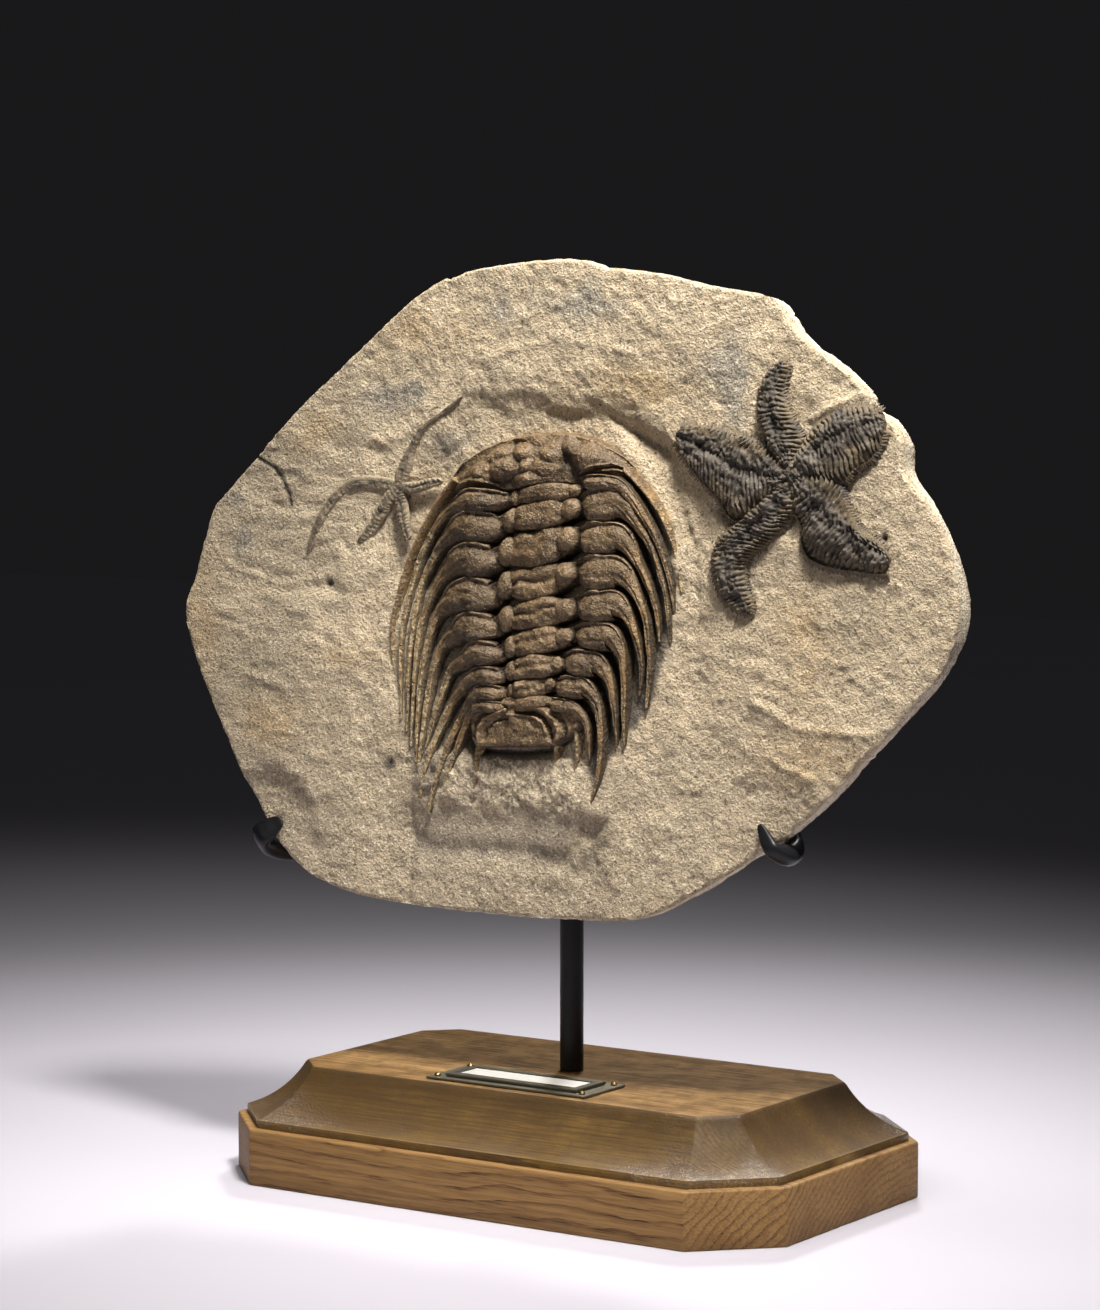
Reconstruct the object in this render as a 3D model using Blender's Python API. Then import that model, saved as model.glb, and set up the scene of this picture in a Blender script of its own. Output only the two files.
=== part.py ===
# A fossil plate on its stand: a large spiny trilobite and two starfish on a sawn sandstone slab,
# held by two claws and a bracket on a post in an oak base. The plate faces -Y and +Z is up. The
# origin is the centre of the base's underside. Values are in millimetres until a mesh is made.
import math

import bpy
from mathutils import Vector, noise
from mathutils.geometry import delaunay_2d_cdt

MM = 0.001
GAP = 0.3  # air left between pieces that touch
SMALL_BEVEL = 0.6

# oak base: an eight-sided block with a ledge, a fillet and a cove up to its top
BASE_LENGTH = 260.0
BASE_DEPTH = 157.5
BASE_HEIGHT = 45.0
BASE_CLIP = 27.9  # leg of each clipped corner
BLOCK_HEIGHT = 22.6
LEDGE_WIDTH = 3.5
FILLET_HEIGHT = 3.2
COVE_BOTTOM_ANGLE = 18.0
COVE_TOP_ANGLE = 61.0
COVE_RADIUS = 41.2
COVE_STEPS = 7

# post and the bracket's socket
POST_RADIUS = 4.75
POST_TOP = 190.0
POST_SIDES = 24
SOCKET_RADIUS = 7.5
SOCKET_LOW = 148.0
SOCKET_TOP = 198.0

# where the plate's front stands: its own frame has u to the right, v up the plate, w outwards
PLATE_Y = -24.0
PLATE_Z = 200.0
PLATE_LEAN = 5.0
EDGE_BEVEL = 1.0
EDGE_DEPTH = 7.0  # sawn part of the edge
SLAB_DEPTH = 14.0
BACK_INSET = 7.5  # how far the broken back draws in from the edge
SAWN_DRAFT = 0.6  # the sawn edge leans in this much
BROKEN_CORNER = 1.2  # the broken edge stops this short of the back
FRONT_SPACING = 9.5
BACK_SPACING = 17.0
PLATE_MIDDLE = (0, 40)
UPPER_LEVEL = 3.0  # the plate's face above the dished bed of the trilobite
SCOOP_LEVEL = -3.0
BED_SLOPE = 10.0  # width of the slope from the face down to the bed
STAR_PAD = 10.0  # level stone left round each starfish
CLAW_PAD = 20.0
PAD_SLOPE = 12.0

# the sawn outline, from the left tip over the top
SLAB_OUTLINE = [
    (-178.3, 19), (-174.5, 40), (-167.5, 65), (-161, 73), (-144, 89), (-122.5, 109),
    (-90, 135.5), (-65, 154.5), (-48, 163), (-27, 166.5), (0, 168.8), (16, 168), (23, 165.6),
    (50, 162.5), (75, 157.5), (100, 152.5), (111, 140.5), (119, 134), (125, 131), (141, 119),
    (144.5, 112), (152.5, 107.5), (158.3, 100), (160, 87.5), (174, 71), (182, 52), (185, 33),
    (180, 17), (168, 2), (145, -23), (122, -45), (90, -67), (60, -84), (35, -88.5),
    (-15, -90.3), (-70, -88.8), (-105, -82), (-124, -70), (-140, -49), (-158.8, -20),
]
OUTLINE_STEPS = 2

# edge of the dished bed round the trilobite, and of the ground-down patch below it
BED_OUTLINE = [
    (-50, 86), (-38, 99), (-18, 106), (8, 107), (28, 103), (46, 92), (60, 76), (69, 55),
    (72, 25), (64, -5), (48, -40), (20, -60), (-60, -62), (-72, -40), (-80, 0), (-76, 32),
    (-66, 58),
]
SCOOP_OUTLINE = [(-60, -60), (8, -60), (22, -66), (26, -78), (24, -130), (-62, -130)]

# thoracic segments, front to back: pitch along the body, axis height on the plate, then
# fulcrum and spine tip on the left and on the right
SEGMENTS = [
    (10.0, 79.0, (-38, 75), (-70, 5), (43, 84), (63, 37)),
    (12.0, 69.5, (-38, 64.5), (-65, -15), (42, 74), (60.5, 21)),
    (12.5, 57.0, (-39, 51.5), (-62, -20), (42, 61.5), (56, 21.5)),
    (13.5, 43.5, (-39.5, 37), (-59, -26), (42, 48), (51.5, -4)),
    (12.5, 30.5, (-39, 24), (-56, -32), (41, 35.5), (48, 0)),
    (11.0, 19.0, (-36, 14), (-55, -39), (38.5, 23.5), (42.5, -19)),
    (9.5, 9.0, (-31, 5), (-52, -26), (33, 12.5), (39, -20)),
    (8.0, 0.5, (-29, -2), (-55, -53), (29, 2.5), (27.5, -45)),
    (6.0, -6.0, (-26, -8), (-38, -26), (24.5, -5.5), (27, -27)),
]
AXIS_U = 5.0
AXIS_TOP_V = 60.0
AXIS_DRIFT = -0.055  # the axis slants left towards the tail, mm per mm
AXIS_HALF = 14.5
AXIS_TILT = 3.2  # right side of each axial ring stands this much further forward
AXIS_RISE = 11.8
KNOB_RISE = 12.3  # round knobs at the ends of each axial ring
KNOB_NECK_RISE = 10.6
FURROW_RISE = 7.6
PLEURA_RISE = 12.0
FULCRUM_RISE = 10.5
TIP_RISE = 1.6
RELIEF_LOSS = 0.03  # share of its height that each segment loses to the one in front
NARROWING = 0.02
SPINE_HALF = 2.1
LEFT_SPINE_HALF = 1.75
SPINE_PULL = 0.36  # how far the ends of a spine's curve pull it, as a share of its length
SPINE_STATIONS = (0.1, 0.25, 0.42, 0.6, 0.8, 1.0)
FOOT = -2.0  # how far the pieces reach below the bed before they are cut off flat

# head: its front edge and its rear edge, left to right, and its tail plate
HEAD_FRONT = [(-49, 80), (-39, 90), (-27, 96.5), (-12, 100.5), (3, 101.5), (15, 101), (27, 97.5),
              (35, 92.5), (42, 87)]
HEAD_REAR = [(-45, 77.5), (-36, 80), (-25, 80.5), (-12, 80), (3, 81), (15, 83.5), (25, 86.5),
             (33, 86.5), (39, 85)]
HEAD_DOMES = (3.4, 7.0, 9.6, 7.6, 11.2, 7.8, 10.2, 7.2, 3.6)  # cheek, lobe and cheek, left to right
TAIL_OUTLINE = [(-30, -7), (-30.5, -14), (-26, -20), (-21, -25), (-6, -26), (8, -24), (14, -20),
                (22, -14), (24, -8), (16, -4), (-4, -3), (-22, -4)]
TAIL_CENTRE = (-3, -14)
TAIL_RISE = 6.4
TAIL_RIDGES = [  # axial lobe and the curved ribs beside it: points, half width and rise
    ([(-4, -4), (-3.5, -12), (-3, -20)], 5.5, 8.6),
    ([(-12, -5), (-20, -9), (-24, -17)], 1.8, 7.6),
    ([(-10, -10), (-15, -14), (-17, -21)], 1.6, 7.4),
    ([(5, -5), (14, -9), (17.5, -16)], 1.8, 7.6),
    ([(4, -10), (9, -14), (11, -20)], 1.6, 7.4),
]
TAIL_SPINES = [((12, -20), (9, -34)), ((19, -15), (19.5, -32)), ((-23, -21), (-30, -38))]

# starfish arms: middle of the disc, then points along each arm with its half width there
LARGE_STAR = ((113, 86), 5.2, [
    [(108, 104, 9.5), (104.5, 115, 7.5), (104.5, 124, 6), (107.5, 131, 2.5)],
    [(126, 96, 13.5), (138, 100.5, 13), (146, 103, 10.5), (151.5, 104, 6)],
    [(125, 74, 12.5), (138, 64, 10.5), (149, 57, 8), (156, 52.5, 3)],
    [(104, 70, 10.5), (92.5, 56, 9), (90, 45, 7.5), (96, 35, 2.5)],
    [(97, 89, 12.5), (81, 93, 11), (69, 97, 8), (60, 99.5, 3.5)],
])
SMALL_STAR = ((-70, 80), 1.6, [
    [(-65, 92, 3.2), (-58, 102, 2.6), (-48, 110, 1.4), (-41, 115, 0.6)],
    [(-63, 78, 1.9), (-57, 79, 1.0)],
    [(-86, 78.5, 2.6), (-96, 77, 2.5), (-104, 72, 2.2), (-109, 65, 2.0), (-113, 57, 1.7),
     (-115, 51, 0.8)],
    [(-80, 66, 2.4), (-85, 58, 2.1), (-90, 52.5, 1.0)],
    [(-66.5, 68, 2.4), (-65, 60, 2.2), (-66, 54.5, 1.0)],
])
LARGE_STAR_SWELLS = 3  # swellings between two points of an arm
SMALL_STAR_SWELLS = 1

# claws: where each crosses the edge, its direction out of the plate, and its strap
CLAWS = {
    "left_claw": ((-129.5, -64.5), (-0.76, -0.65)),
    "right_claw": ((109.5, -53.7), (0.56, -0.83)),
}
CLAW_WIDTH = 11.0
CLAW_THICK = 2.4
CLAW_REACH = 9.0  # length that lies on the plate's face
CLAW_TAIL = 13.0  # length that lies behind the plate
CLAW_LEG_W = -SLAB_DEPTH - 1.6  # front of the leg behind the plate

# bracket arms and the bar that the plate's back leans on
ARM_WIDTH = 9.0
ARM_THICK = 4.0
ARM_START_V = -38.0
ARM_OVERLAP = 5.3  # the arms cross in front of the socket
ARM_SHORTFALL = 4.0  # each arm ends this much before the claw's tail does
CROSS_BAR_LENGTH = 64.0
CROSS_BAR_WIDTH = 11.0
CROSS_BAR_THICK = 4.9
CROSS_BAR_CLEARANCE = 1.3
CROSS_BAR_V = -8.0

# label holder on the base's top, in front of the post
LABEL_Y = -33.0
LABEL_PLATE = (75.0, 29.0, 0.8)
LABEL_FRAME = (62.0, 21.0, 1.0)
LABEL_INSERT = (55.0, 12.5, 0.7)
PIN_RADIUS = 1.3
PIN_RISE = 1.0
PIN_INSET = 3.2
THIN_CHAMFER = 0.25


def material(name, colour, roughness, metallic=0.0):
    made = bpy.data.materials.new(name)
    made.use_nodes = True
    shader = made.node_tree.nodes["Principled BSDF"]
    shader.inputs["Base Color"].default_value = (*colour, 1.0)
    shader.inputs["Roughness"].default_value = roughness
    shader.inputs["Metallic"].default_value = metallic
    made.diffuse_color = (*colour, 1.0)
    return made


def add_object(name, points, faces, look, parent=None, smooth=None):
    """A mesh object from points in millimetres; smooth is the angle below which edges are smooth."""
    mesh = bpy.data.meshes.new(name)
    mesh.from_pydata([Vector(p) * MM for p in points], [], faces)
    mesh.materials.append(look)
    if smooth:
        mesh.shade_smooth()
        mesh.set_sharp_from_angle(angle=math.radians(smooth))
    made = bpy.data.objects.new(name, mesh)
    made.parent = parent
    bpy.context.scene.collection.objects.link(made)
    return made


def boolean(target, other, operation):
    """Join or cut one object by another, which then only guides the shape."""
    step = target.modifiers.new(operation.lower() + "_" + other.name, "BOOLEAN")
    step.operation = operation
    step.solver = "EXACT"
    step.object = other
    other.hide_render = True
    other.display_type = "WIRE"


def loft(rings):
    """Points and faces of a solid through rings of equal size, capped at both ends."""
    count = len(rings[0])
    points = [p for ring in rings for p in ring]
    faces = []
    for i in range(len(rings) - 1):
        for j in range(count):
            k = (j + 1) % count
            a, b = i * count, (i + 1) * count
            faces.append((a + j, a + k, b + k, b + j))
    faces.append(tuple(reversed(range(count))))
    faces.append(tuple(range(len(points) - count, len(points))))
    return points, faces


def spline(points, steps, closed=False):
    """Points on a smooth curve through the given ones, with steps to each span."""
    count = len(points)
    spans = count if closed else count - 1
    made = []
    for i in range(spans):
        if closed:
            around = [points[(i + k) % count] for k in (-1, 0, 1, 2)]
        else:
            around = [points[min(max(i + k, 0), count - 1)] for k in (-1, 0, 1, 2)]
        a, b, c, d = (Vector(p) for p in around)
        for n in range(steps):
            t = n / steps
            made.append(0.5 * (2 * b + (c - a) * t + (2 * a - 5 * b + 4 * c - d) * t * t
                               + (3 * b - a - 3 * c + d) * t ** 3))
    if not closed:
        made.append(Vector(points[-1]))
    return made


def bezier(a, b, c, d, t):
    s = 1 - t
    return a * s ** 3 + b * (3 * s * s * t) + c * (3 * s * t * t) + d * t ** 3


def ease(t):
    t = min(max(t, 0.0), 1.0)
    return t * t * (3 - 2 * t)


def segment_distance(p, a, b):
    along = b - a
    t = min(max((p - a).dot(along) / along.length_squared, 0.0), 1.0)
    return (p - a - along * t).length


def outside_distance(p, outline):
    """Distance from a point to an outline, zero inside it."""
    inside = False
    nearest = math.inf
    for i, start in enumerate(outline):
        a, b = Vector(outline[i - 1]), Vector(start)
        nearest = min(nearest, segment_distance(p, a, b))
        if (a.y > p.y) != (b.y > p.y) and p.x < (b.x - a.x) * (p.y - a.y) / (b.y - a.y) + a.x:
            inside = not inside
    return 0.0 if inside else nearest


def arm_distance(p, star):
    """How far a point is outside a starfish's arms."""
    middle, _, arms = star
    nearest = math.inf
    for arm in arms:
        path = [(*middle, arm[0][2])] + arm
        for a, b in zip(path, path[1:]):
            gap = segment_distance(p, Vector(a[:2]), Vector(b[:2])) - max(a[2], b[2])
            nearest = min(nearest, gap)
    return nearest


def bumps(p, size, seed):
    return noise.noise(Vector((p.x / size, p.y / size, seed)))


def face_height(p):
    """Height of the plate's face over its own zero level."""
    from_bed = outside_distance(p, BED_OUTLINE)
    height = UPPER_LEVEL * (0.35 + 0.65 * ease((p.y + 0.35 * abs(p.x + 40) + 40) / 90))
    height += 1.6 * bumps(p, 48, 3.1) * ease((from_bed - 4) / 30)
    for star in (LARGE_STAR, SMALL_STAR):
        pad = 1 - ease((arm_distance(p, star) - STAR_PAD) / PAD_SLOPE)
        height += (UPPER_LEVEL - height) * pad
    height *= ease(from_bed / BED_SLOPE)
    scoop = 1 - ease(outside_distance(p, SCOOP_OUTLINE) / PAD_SLOPE)
    height += (SCOOP_LEVEL - height) * scoop
    for middle, _ in CLAWS.values():
        height *= ease(((p - Vector(middle)).length - CLAW_PAD) / PAD_SLOPE)
    return height


def shrink(outline, distance):
    """An outline drawn in towards the plate's middle."""
    middle = Vector(PLATE_MIDDLE)
    return [middle + (p - middle) * (1 - distance / (p - middle).length) for p in outline]


def grid_points(outline, spacing, margin):
    """Staggered points inside an outline, clear of its edge."""
    made = []
    left = min(p[0] for p in outline)
    right = max(p[0] for p in outline)
    bottom = min(p[1] for p in outline)
    top = max(p[1] for p in outline)
    pitch = spacing * math.sqrt(3) / 2
    for row in range(int((top - bottom) / pitch) + 1):
        for column in range(int((right - left) / spacing) + 1):
            spot = Vector((left + (column + 0.5 * (row % 2)) * spacing, bottom + row * pitch))
            p = spot + Vector((bumps(spot, 5, 1.7), bumps(spot, 5, 8.3))) * (0.22 * spacing)
            if outside_distance(p, outline) > 0:
                continue
            edges = zip(outline, outline[1:] + outline[:1])
            if min(segment_distance(p, Vector(a), Vector(b)) for a, b in edges) > margin:
                made.append(p)
    return made


def filled(outline, inner, crease):
    """Triangles that fill an outline through its inner points and along an inner crease."""
    flat = list(outline) + list(inner) + list(crease)
    first = len(flat) - len(crease)
    edges = [(first + i, first + (i + 1) % len(crease)) for i in range(len(crease))]
    result = delaunay_2d_cdt(flat, edges, [list(range(len(outline)))], 1, 1e-4)
    return result[0], result[2], result[3]


def build_slab(parent, look):
    outline = spline(SLAB_OUTLINE, OUTLINE_STEPS, closed=True)
    outline.reverse()  # counter-clockwise, seen from the front
    count = len(outline)
    front_edge = shrink(outline, EDGE_BEVEL)
    back_edge = shrink(outline, BACK_INSET)
    sawn = shrink(outline, SAWN_DRAFT)
    broken = []
    for p, q in zip(outline, back_edge):
        r = p.lerp(q, 0.75 + 0.5 * bumps(p, 9, 7.7))
        broken.append((r.x, r.y, -SLAB_DEPTH + BROKEN_CORNER + 0.8 * bumps(p, 11, 2.2)))
    rings = [
        [(p.x, p.y, face_height(p)) for p in front_edge],
        [(p.x, p.y, face_height(p) - EDGE_BEVEL) for p in outline],
        [(p.x, p.y, -EDGE_DEPTH - 1.8 * bumps(p, 13, 5.5)) for p in sawn],
        broken,
    ]
    points = [p for ring in rings for p in ring]
    faces = []
    for i in range(len(rings) - 1):
        for j in range(count):
            k = (j + 1) % count
            a, b = i * count, (i + 1) * count
            faces.append((a + j, b + j, b + k, a + k))

    def fill(ring, edge, spacing, height, flip, crease=()):
        inner = grid_points(edge, spacing, spacing * 0.55)
        inner = [p for p in inner if all((p - q).length > spacing * 0.45 for q in crease)]
        spots, triangles, origin = filled(edge, inner, crease)
        index = {}
        for n, spot in enumerate(spots):
            on_edge = [k for k in origin[n] if k < count]
            if on_edge:
                index[n] = ring * count + on_edge[0]
            else:
                index[n] = len(points)
                points.append((spot.x, spot.y, height(spot)))
        for triangle in triangles:
            corners = [index[k] for k in triangle]
            faces.append(tuple(reversed(corners)) if flip else tuple(corners))

    fill(0, front_edge, FRONT_SPACING, face_height, False, spline(BED_OUTLINE, 2, closed=True))
    edge = [Vector(p[:2]) for p in broken]
    fill(3, edge, BACK_SPACING, lambda p: -SLAB_DEPTH + 0.9 * bumps(p, 26, 4.4), True)
    return add_object("slab", points, faces, look, parent)


def ridge_ring(middle, across, half, rise, low):
    """Cross-section of a fossil ridge: a low front edge, two bands and a rear edge, on a foot."""
    drop = min(3.0, 0.42 * rise)
    shape = [(1.0, low), (1.0, rise - drop), (0.5, rise - 0.2), (-0.45, rise),
             (-1.0, rise - 0.7 * drop), (-1.0, low)]
    return [(middle.x + across.x * half * s, middle.y + across.y * half * s, w) for s, w in shape]


def ridge_along(stations, low):
    """Cross-sections of a ridge through stations of place, height and half width."""
    places = [place for place, _, _ in stations]
    rings = []
    for i, (place, rise, half) in enumerate(stations):
        ahead = places[min(i + 1, len(places) - 1)] - places[max(i - 1, 0)]
        across = Vector((-ahead.y, ahead.x)).normalized()
        rings.append(ridge_ring(place, across, half, rise, low))
    return rings


def spine_stations(knee, tip, side, pitch, relief):
    """Stations from a segment's knee back to the tip of its spine."""
    knee, tip = Vector(knee), Vector(tip)
    pull = (tip - knee).length * SPINE_PULL
    first = knee + Vector((0.52 * side, -0.85)) * pull
    last = tip + Vector((-0.05 * side, 1.0)) * pull
    widest = SPINE_HALF if side > 0 else LEFT_SPINE_HALF
    stations = []
    for t in SPINE_STATIONS:
        rise = TIP_RISE + (FULCRUM_RISE * relief - TIP_RISE) * (1 - t) ** 1.7
        half = widest * (1 - t ** 3) + 0.20 * pitch * max(0.0, 1 - 5 * t)
        stations.append((bezier(knee, first, last, tip, t), rise, max(0.5, half)))
    return stations


def stations_of(segment, number):
    """Stations along one segment, left tip to right tip: place, height and half width."""
    pitch, axis_v, left_knee, left_tip, right_knee, right_tip = segment
    relief = 1 - RELIEF_LOSS * number
    axis = Vector((AXIS_U + AXIS_DRIFT * (AXIS_TOP_V - axis_v), axis_v))
    half_axis = AXIS_HALF * (1 - NARROWING * number)

    def half_ring(side, knee):
        furrow = axis + Vector((half_axis * side, AXIS_TILT * side))
        knee = Vector(knee)
        return [
            (axis.lerp(furrow, 0.5), KNOB_NECK_RISE * relief, 0.46 * pitch),
            (axis.lerp(furrow, 0.78), KNOB_RISE * relief, 0.38 * pitch),
            (furrow, FURROW_RISE * relief, 0.42 * pitch),
            (furrow.lerp(knee, 0.38), PLEURA_RISE * relief, 0.53 * pitch),
            (furrow.lerp(knee, 0.85), (PLEURA_RISE - 0.4) * relief, 0.50 * pitch),
            (knee, FULCRUM_RISE * relief, 0.40 * pitch),
        ]

    left = half_ring(-1, left_knee) + spine_stations(left_knee, left_tip, -1, pitch, relief)
    right = half_ring(1, right_knee) + spine_stations(right_knee, right_tip, 1, pitch, relief)
    return left[::-1] + [(axis, AXIS_RISE * relief, 0.53 * pitch)] + right


def head_rings():
    """Sections of the head shield from left to right, each from its front edge over to its rear."""
    rings = []
    for front, rear, dome in zip(HEAD_FRONT, HEAD_REAR, HEAD_DOMES):
        front, rear = Vector(front), Vector(rear)
        profile = [(1.0, FOOT), (1.0, 1.2), (0.9, 0.34 * dome + 1.0), (0.62, 0.80 * dome),
                   (0.3, dome), (0.08, 0.92 * dome), (0.0, 0.6 * dome), (0.0, FOOT)]
        rings.append([(*rear.lerp(front, s), w) for s, w in profile])
    return rings


def tail_pieces():
    """Lofts of the tail shield, its axial lobe and ribs, and the spines on its rear edge."""
    middle = Vector(TAIL_CENTRE)
    shield = []
    for scale, w in ((1.0, FOOT), (1.0, TAIL_RISE - 2.2), (0.9, TAIL_RISE - 0.9), (0.55, TAIL_RISE)):
        shield.append([(*middle.lerp(Vector(p), scale), w) for p in TAIL_OUTLINE])
    lofts = [shield]
    for number, (path, half, rise) in enumerate(TAIL_RIDGES):
        stations = [(Vector(p), rise - 0.9 * i, half * (1 - 0.2 * i)) for i, p in enumerate(path)]
        lofts.append(ridge_along(stations, 1.5 + 0.11 * number))
    for number, (start, end) in enumerate(TAIL_SPINES):
        start, end = Vector(start), Vector(end)
        stations = [(start.lerp(end, t), rise, half)
                    for t, rise, half in ((0, 4.6, 1.9), (0.5, 3.0, 1.5), (1, 1.4, 0.6))]
        lofts.append(ridge_along(stations, FOOT - 0.13 * number))
    return lofts


def keep_above(body, middle, reach, low, parent, look):
    """Cut a body off flat at a height over the plate."""
    corners = [(middle[0] + u * reach, middle[1] + v * reach)
               for u, v in ((-1, -1), (1, -1), (1, 1), (-1, 1))]
    points, faces = loft([[(u, v, w) for u, v in corners] for w in (low, low + 40)])
    boolean(body, add_object(body.name + "_above", points, faces, look, parent), "INTERSECT")


def build_trilobite(parent, look):
    lofts = [ridge_along(stations_of(segment, number), FOOT - 0.11 * number)
             for number, segment in enumerate(SEGMENTS)]
    lofts.append(head_rings())
    lofts += tail_pieces()
    body = add_object("trilobite", *loft(lofts[0]), look, parent)
    for number, rings in enumerate(lofts[1:]):
        other = add_object("trilobite_part_%d" % number, *loft(rings), look, parent)
        boolean(body, other, "UNION")
    keep_above(body, (0, 20), 120, GAP, parent, look)


def star_rings(middle, arm, rise, swells, low):
    """Rings along one starfish arm, from inside the disc to its tip."""
    path = [(middle[0], middle[1], arm[0][2] * 0.8)] + arm
    smooth = spline(path, swells)
    base = UPPER_LEVEL + GAP
    rings = []
    for i, spot in enumerate(smooth):
        ahead = smooth[min(i + 1, len(smooth) - 1)] - smooth[max(i - 1, 0)]
        across = Vector((-ahead.y, ahead.x)).normalized()
        t = i / (len(smooth) - 1)
        swell = 1.0 if i % 2 else 0.9
        half = spot.z * swell
        crest = rise * (1 - 0.55 * t ** 2) * swell
        shape = [(1.0, low), (1.0, 0.28 * crest), (0.72, 0.8 * crest), (0.3, crest),
                 (0.0, 0.72 * crest), (-0.3, crest), (-0.72, 0.8 * crest), (-1.0, 0.28 * crest),
                 (-1.0, low)]
        rings.append([(spot.x + across.x * half * s, spot.y + across.y * half * s, base + w)
                      for s, w in shape])
    return rings


def build_star(name, star, swells, parent, look):
    """A starfish of lofted arms joined in its disc and cut off flat above the plate."""
    middle, rise, arms = star
    body = None
    for number, arm in enumerate(arms):
        low = -1.5 - 0.07 * number
        points, faces = loft(star_rings(middle, arm, rise * (1 - 0.03 * number), swells, low))
        if body is None:
            body = add_object(name, points, faces, look, parent)
        else:
            other = add_object("%s_arm_%d" % (name, number), points, faces, look, parent)
            boolean(body, other, "UNION")
    keep_above(body, middle, 80, UPPER_LEVEL + GAP, parent, look)


def octagon(inset):
    a, b = BASE_LENGTH / 2 - inset, BASE_DEPTH / 2 - inset
    c = BASE_CLIP - (2 - math.sqrt(2)) * inset
    return [(a, -b + c), (a, b - c), (a - c, b), (-a + c, b), (-a, b - c), (-a, -b + c),
            (-a + c, -b), (a - c, -b)]


def build_base(look):
    profile = [(0.0, 0.0), (0.0, BLOCK_HEIGHT - SMALL_BEVEL), (SMALL_BEVEL, BLOCK_HEIGHT),
               (LEDGE_WIDTH, BLOCK_HEIGHT)]
    cove_low = BLOCK_HEIGHT + FILLET_HEIGHT
    first, last = math.radians(COVE_BOTTOM_ANGLE), math.radians(COVE_TOP_ANGLE)
    for i in range(COVE_STEPS + 1):
        a = first + (last - first) * i / COVE_STEPS
        inset = LEDGE_WIDTH + COVE_RADIUS * (math.sin(a) - math.sin(first))
        profile.append((inset, cove_low + COVE_RADIUS * (math.cos(first) - math.cos(a))))
    profile[-1] = (profile[-1][0], BASE_HEIGHT)
    rings = [[(x, y, z) for x, y in octagon(inset)] for inset, z in profile]
    add_object("wood_base", *loft(rings), look)


def circle(radius, sides, z):
    turn = 2 * math.pi / sides
    return [(radius * math.cos(turn * i), radius * math.sin(turn * i), z) for i in range(sides)]


def rod(name, sections, look, smooth=None):
    """A round upright piece through sections of radius and height."""
    rings = [circle(radius, POST_SIDES, z) for radius, z in sections]
    return add_object(name, *loft(rings), look, smooth=smooth)


def build_post(look):
    rod("post", [(POST_RADIUS, BASE_HEIGHT + GAP), (POST_RADIUS, POST_TOP - SMALL_BEVEL),
                 (POST_RADIUS - SMALL_BEVEL, POST_TOP)], look, smooth=40)


def bar(name, start, end, width, w_low, w_high, look, parent):
    """A flat bar along the plate's back from start to end."""
    start, end = Vector(start), Vector(end)
    along = (end - start).normalized()
    across = Vector((-along.y, along.x)) * width / 2
    corners = [start - across, end - across, end + across, start + across]
    rings = [[(p.x, p.y, w) for p in corners] for w in (w_low, w_high)]
    return add_object(name, *loft(rings), look, parent)


def build_bracket(parent, look):
    """The hidden holder: a socket over the post, two arms out to the claws and a bar for the back."""
    body = rod("rear_bracket", [(SOCKET_RADIUS, SOCKET_LOW), (SOCKET_RADIUS, SOCKET_TOP - 1),
                                (SOCKET_RADIUS - 1, SOCKET_TOP)], look)
    arm_top = CLAW_LEG_W - CLAW_THICK - GAP
    for name, (middle, out) in CLAWS.items():
        end = Vector(middle) - Vector(out) * (CLAW_TAIL - ARM_SHORTFALL)
        start = (math.copysign(ARM_OVERLAP, -out[0]), ARM_START_V)
        arm = bar(name + "_arm", start, end, ARM_WIDTH, arm_top - ARM_THICK, arm_top, look, parent)
        boolean(body, arm, "UNION")
    half = CROSS_BAR_LENGTH / 2
    back = -SLAB_DEPTH - CROSS_BAR_CLEARANCE
    rest = bar("cross_bar", (-half, CROSS_BAR_V), (half, CROSS_BAR_V), CROSS_BAR_WIDTH,
               back - CROSS_BAR_THICK, back, look, parent)
    boolean(body, rest, "UNION")
    bore = rod("socket_bore", [(POST_RADIUS + GAP, SOCKET_LOW - 5),
                               (POST_RADIUS + GAP, POST_TOP + GAP)], look)
    boolean(body, bore, "DIFFERENCE")


def build_claw(name, parent, look):
    """A strap that lies behind the plate, wraps its edge and hooks over its face to a round tip."""
    middle, out = (Vector(p) for p in CLAWS[name])
    out.normalize()
    side = Vector((-out.y, out.x))
    half = CLAW_THICK / 2
    face = 1.0 + half
    back = CLAW_LEG_W - half
    # reach past the edge, height over the plate and share of the full width
    path = [(-CLAW_TAIL, back, 1.0), (-4.0, back, 1.0), (1.2, back + 1.2, 1.0),
            (3.4, back + 5.0, 1.0), (3.6, -4.0, 1.0), (3.1, -1.0, 0.97), (1.2, face + 0.9, 0.92),
            (-2.0, face + 0.7, 0.82), (-6.0, face + 0.1, 0.66), (-CLAW_REACH, face - 0.3, 0.36)]
    section = [(-1, -0.6), (-0.8, -1), (0.8, -1), (1, -0.6), (1, 0.6), (0.8, 1), (-0.8, 1), (-1, 0.6)]
    rings = []
    for i, (reach, w, width) in enumerate(path):
        before, after = path[max(i - 1, 0)], path[min(i + 1, len(path) - 1)]
        run = Vector((after[0] - before[0], after[1] - before[1])).normalized()
        normal = Vector((-run.y, run.x))
        ring = []
        for s, n in section:
            spot = middle + out * (reach + normal.x * n * half) + side * (s * width * CLAW_WIDTH / 2)
            ring.append((spot.x, spot.y, w + normal.y * n * half))
        rings.append(ring)
    add_object(name, *loft(rings), look, parent, smooth=35)


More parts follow.
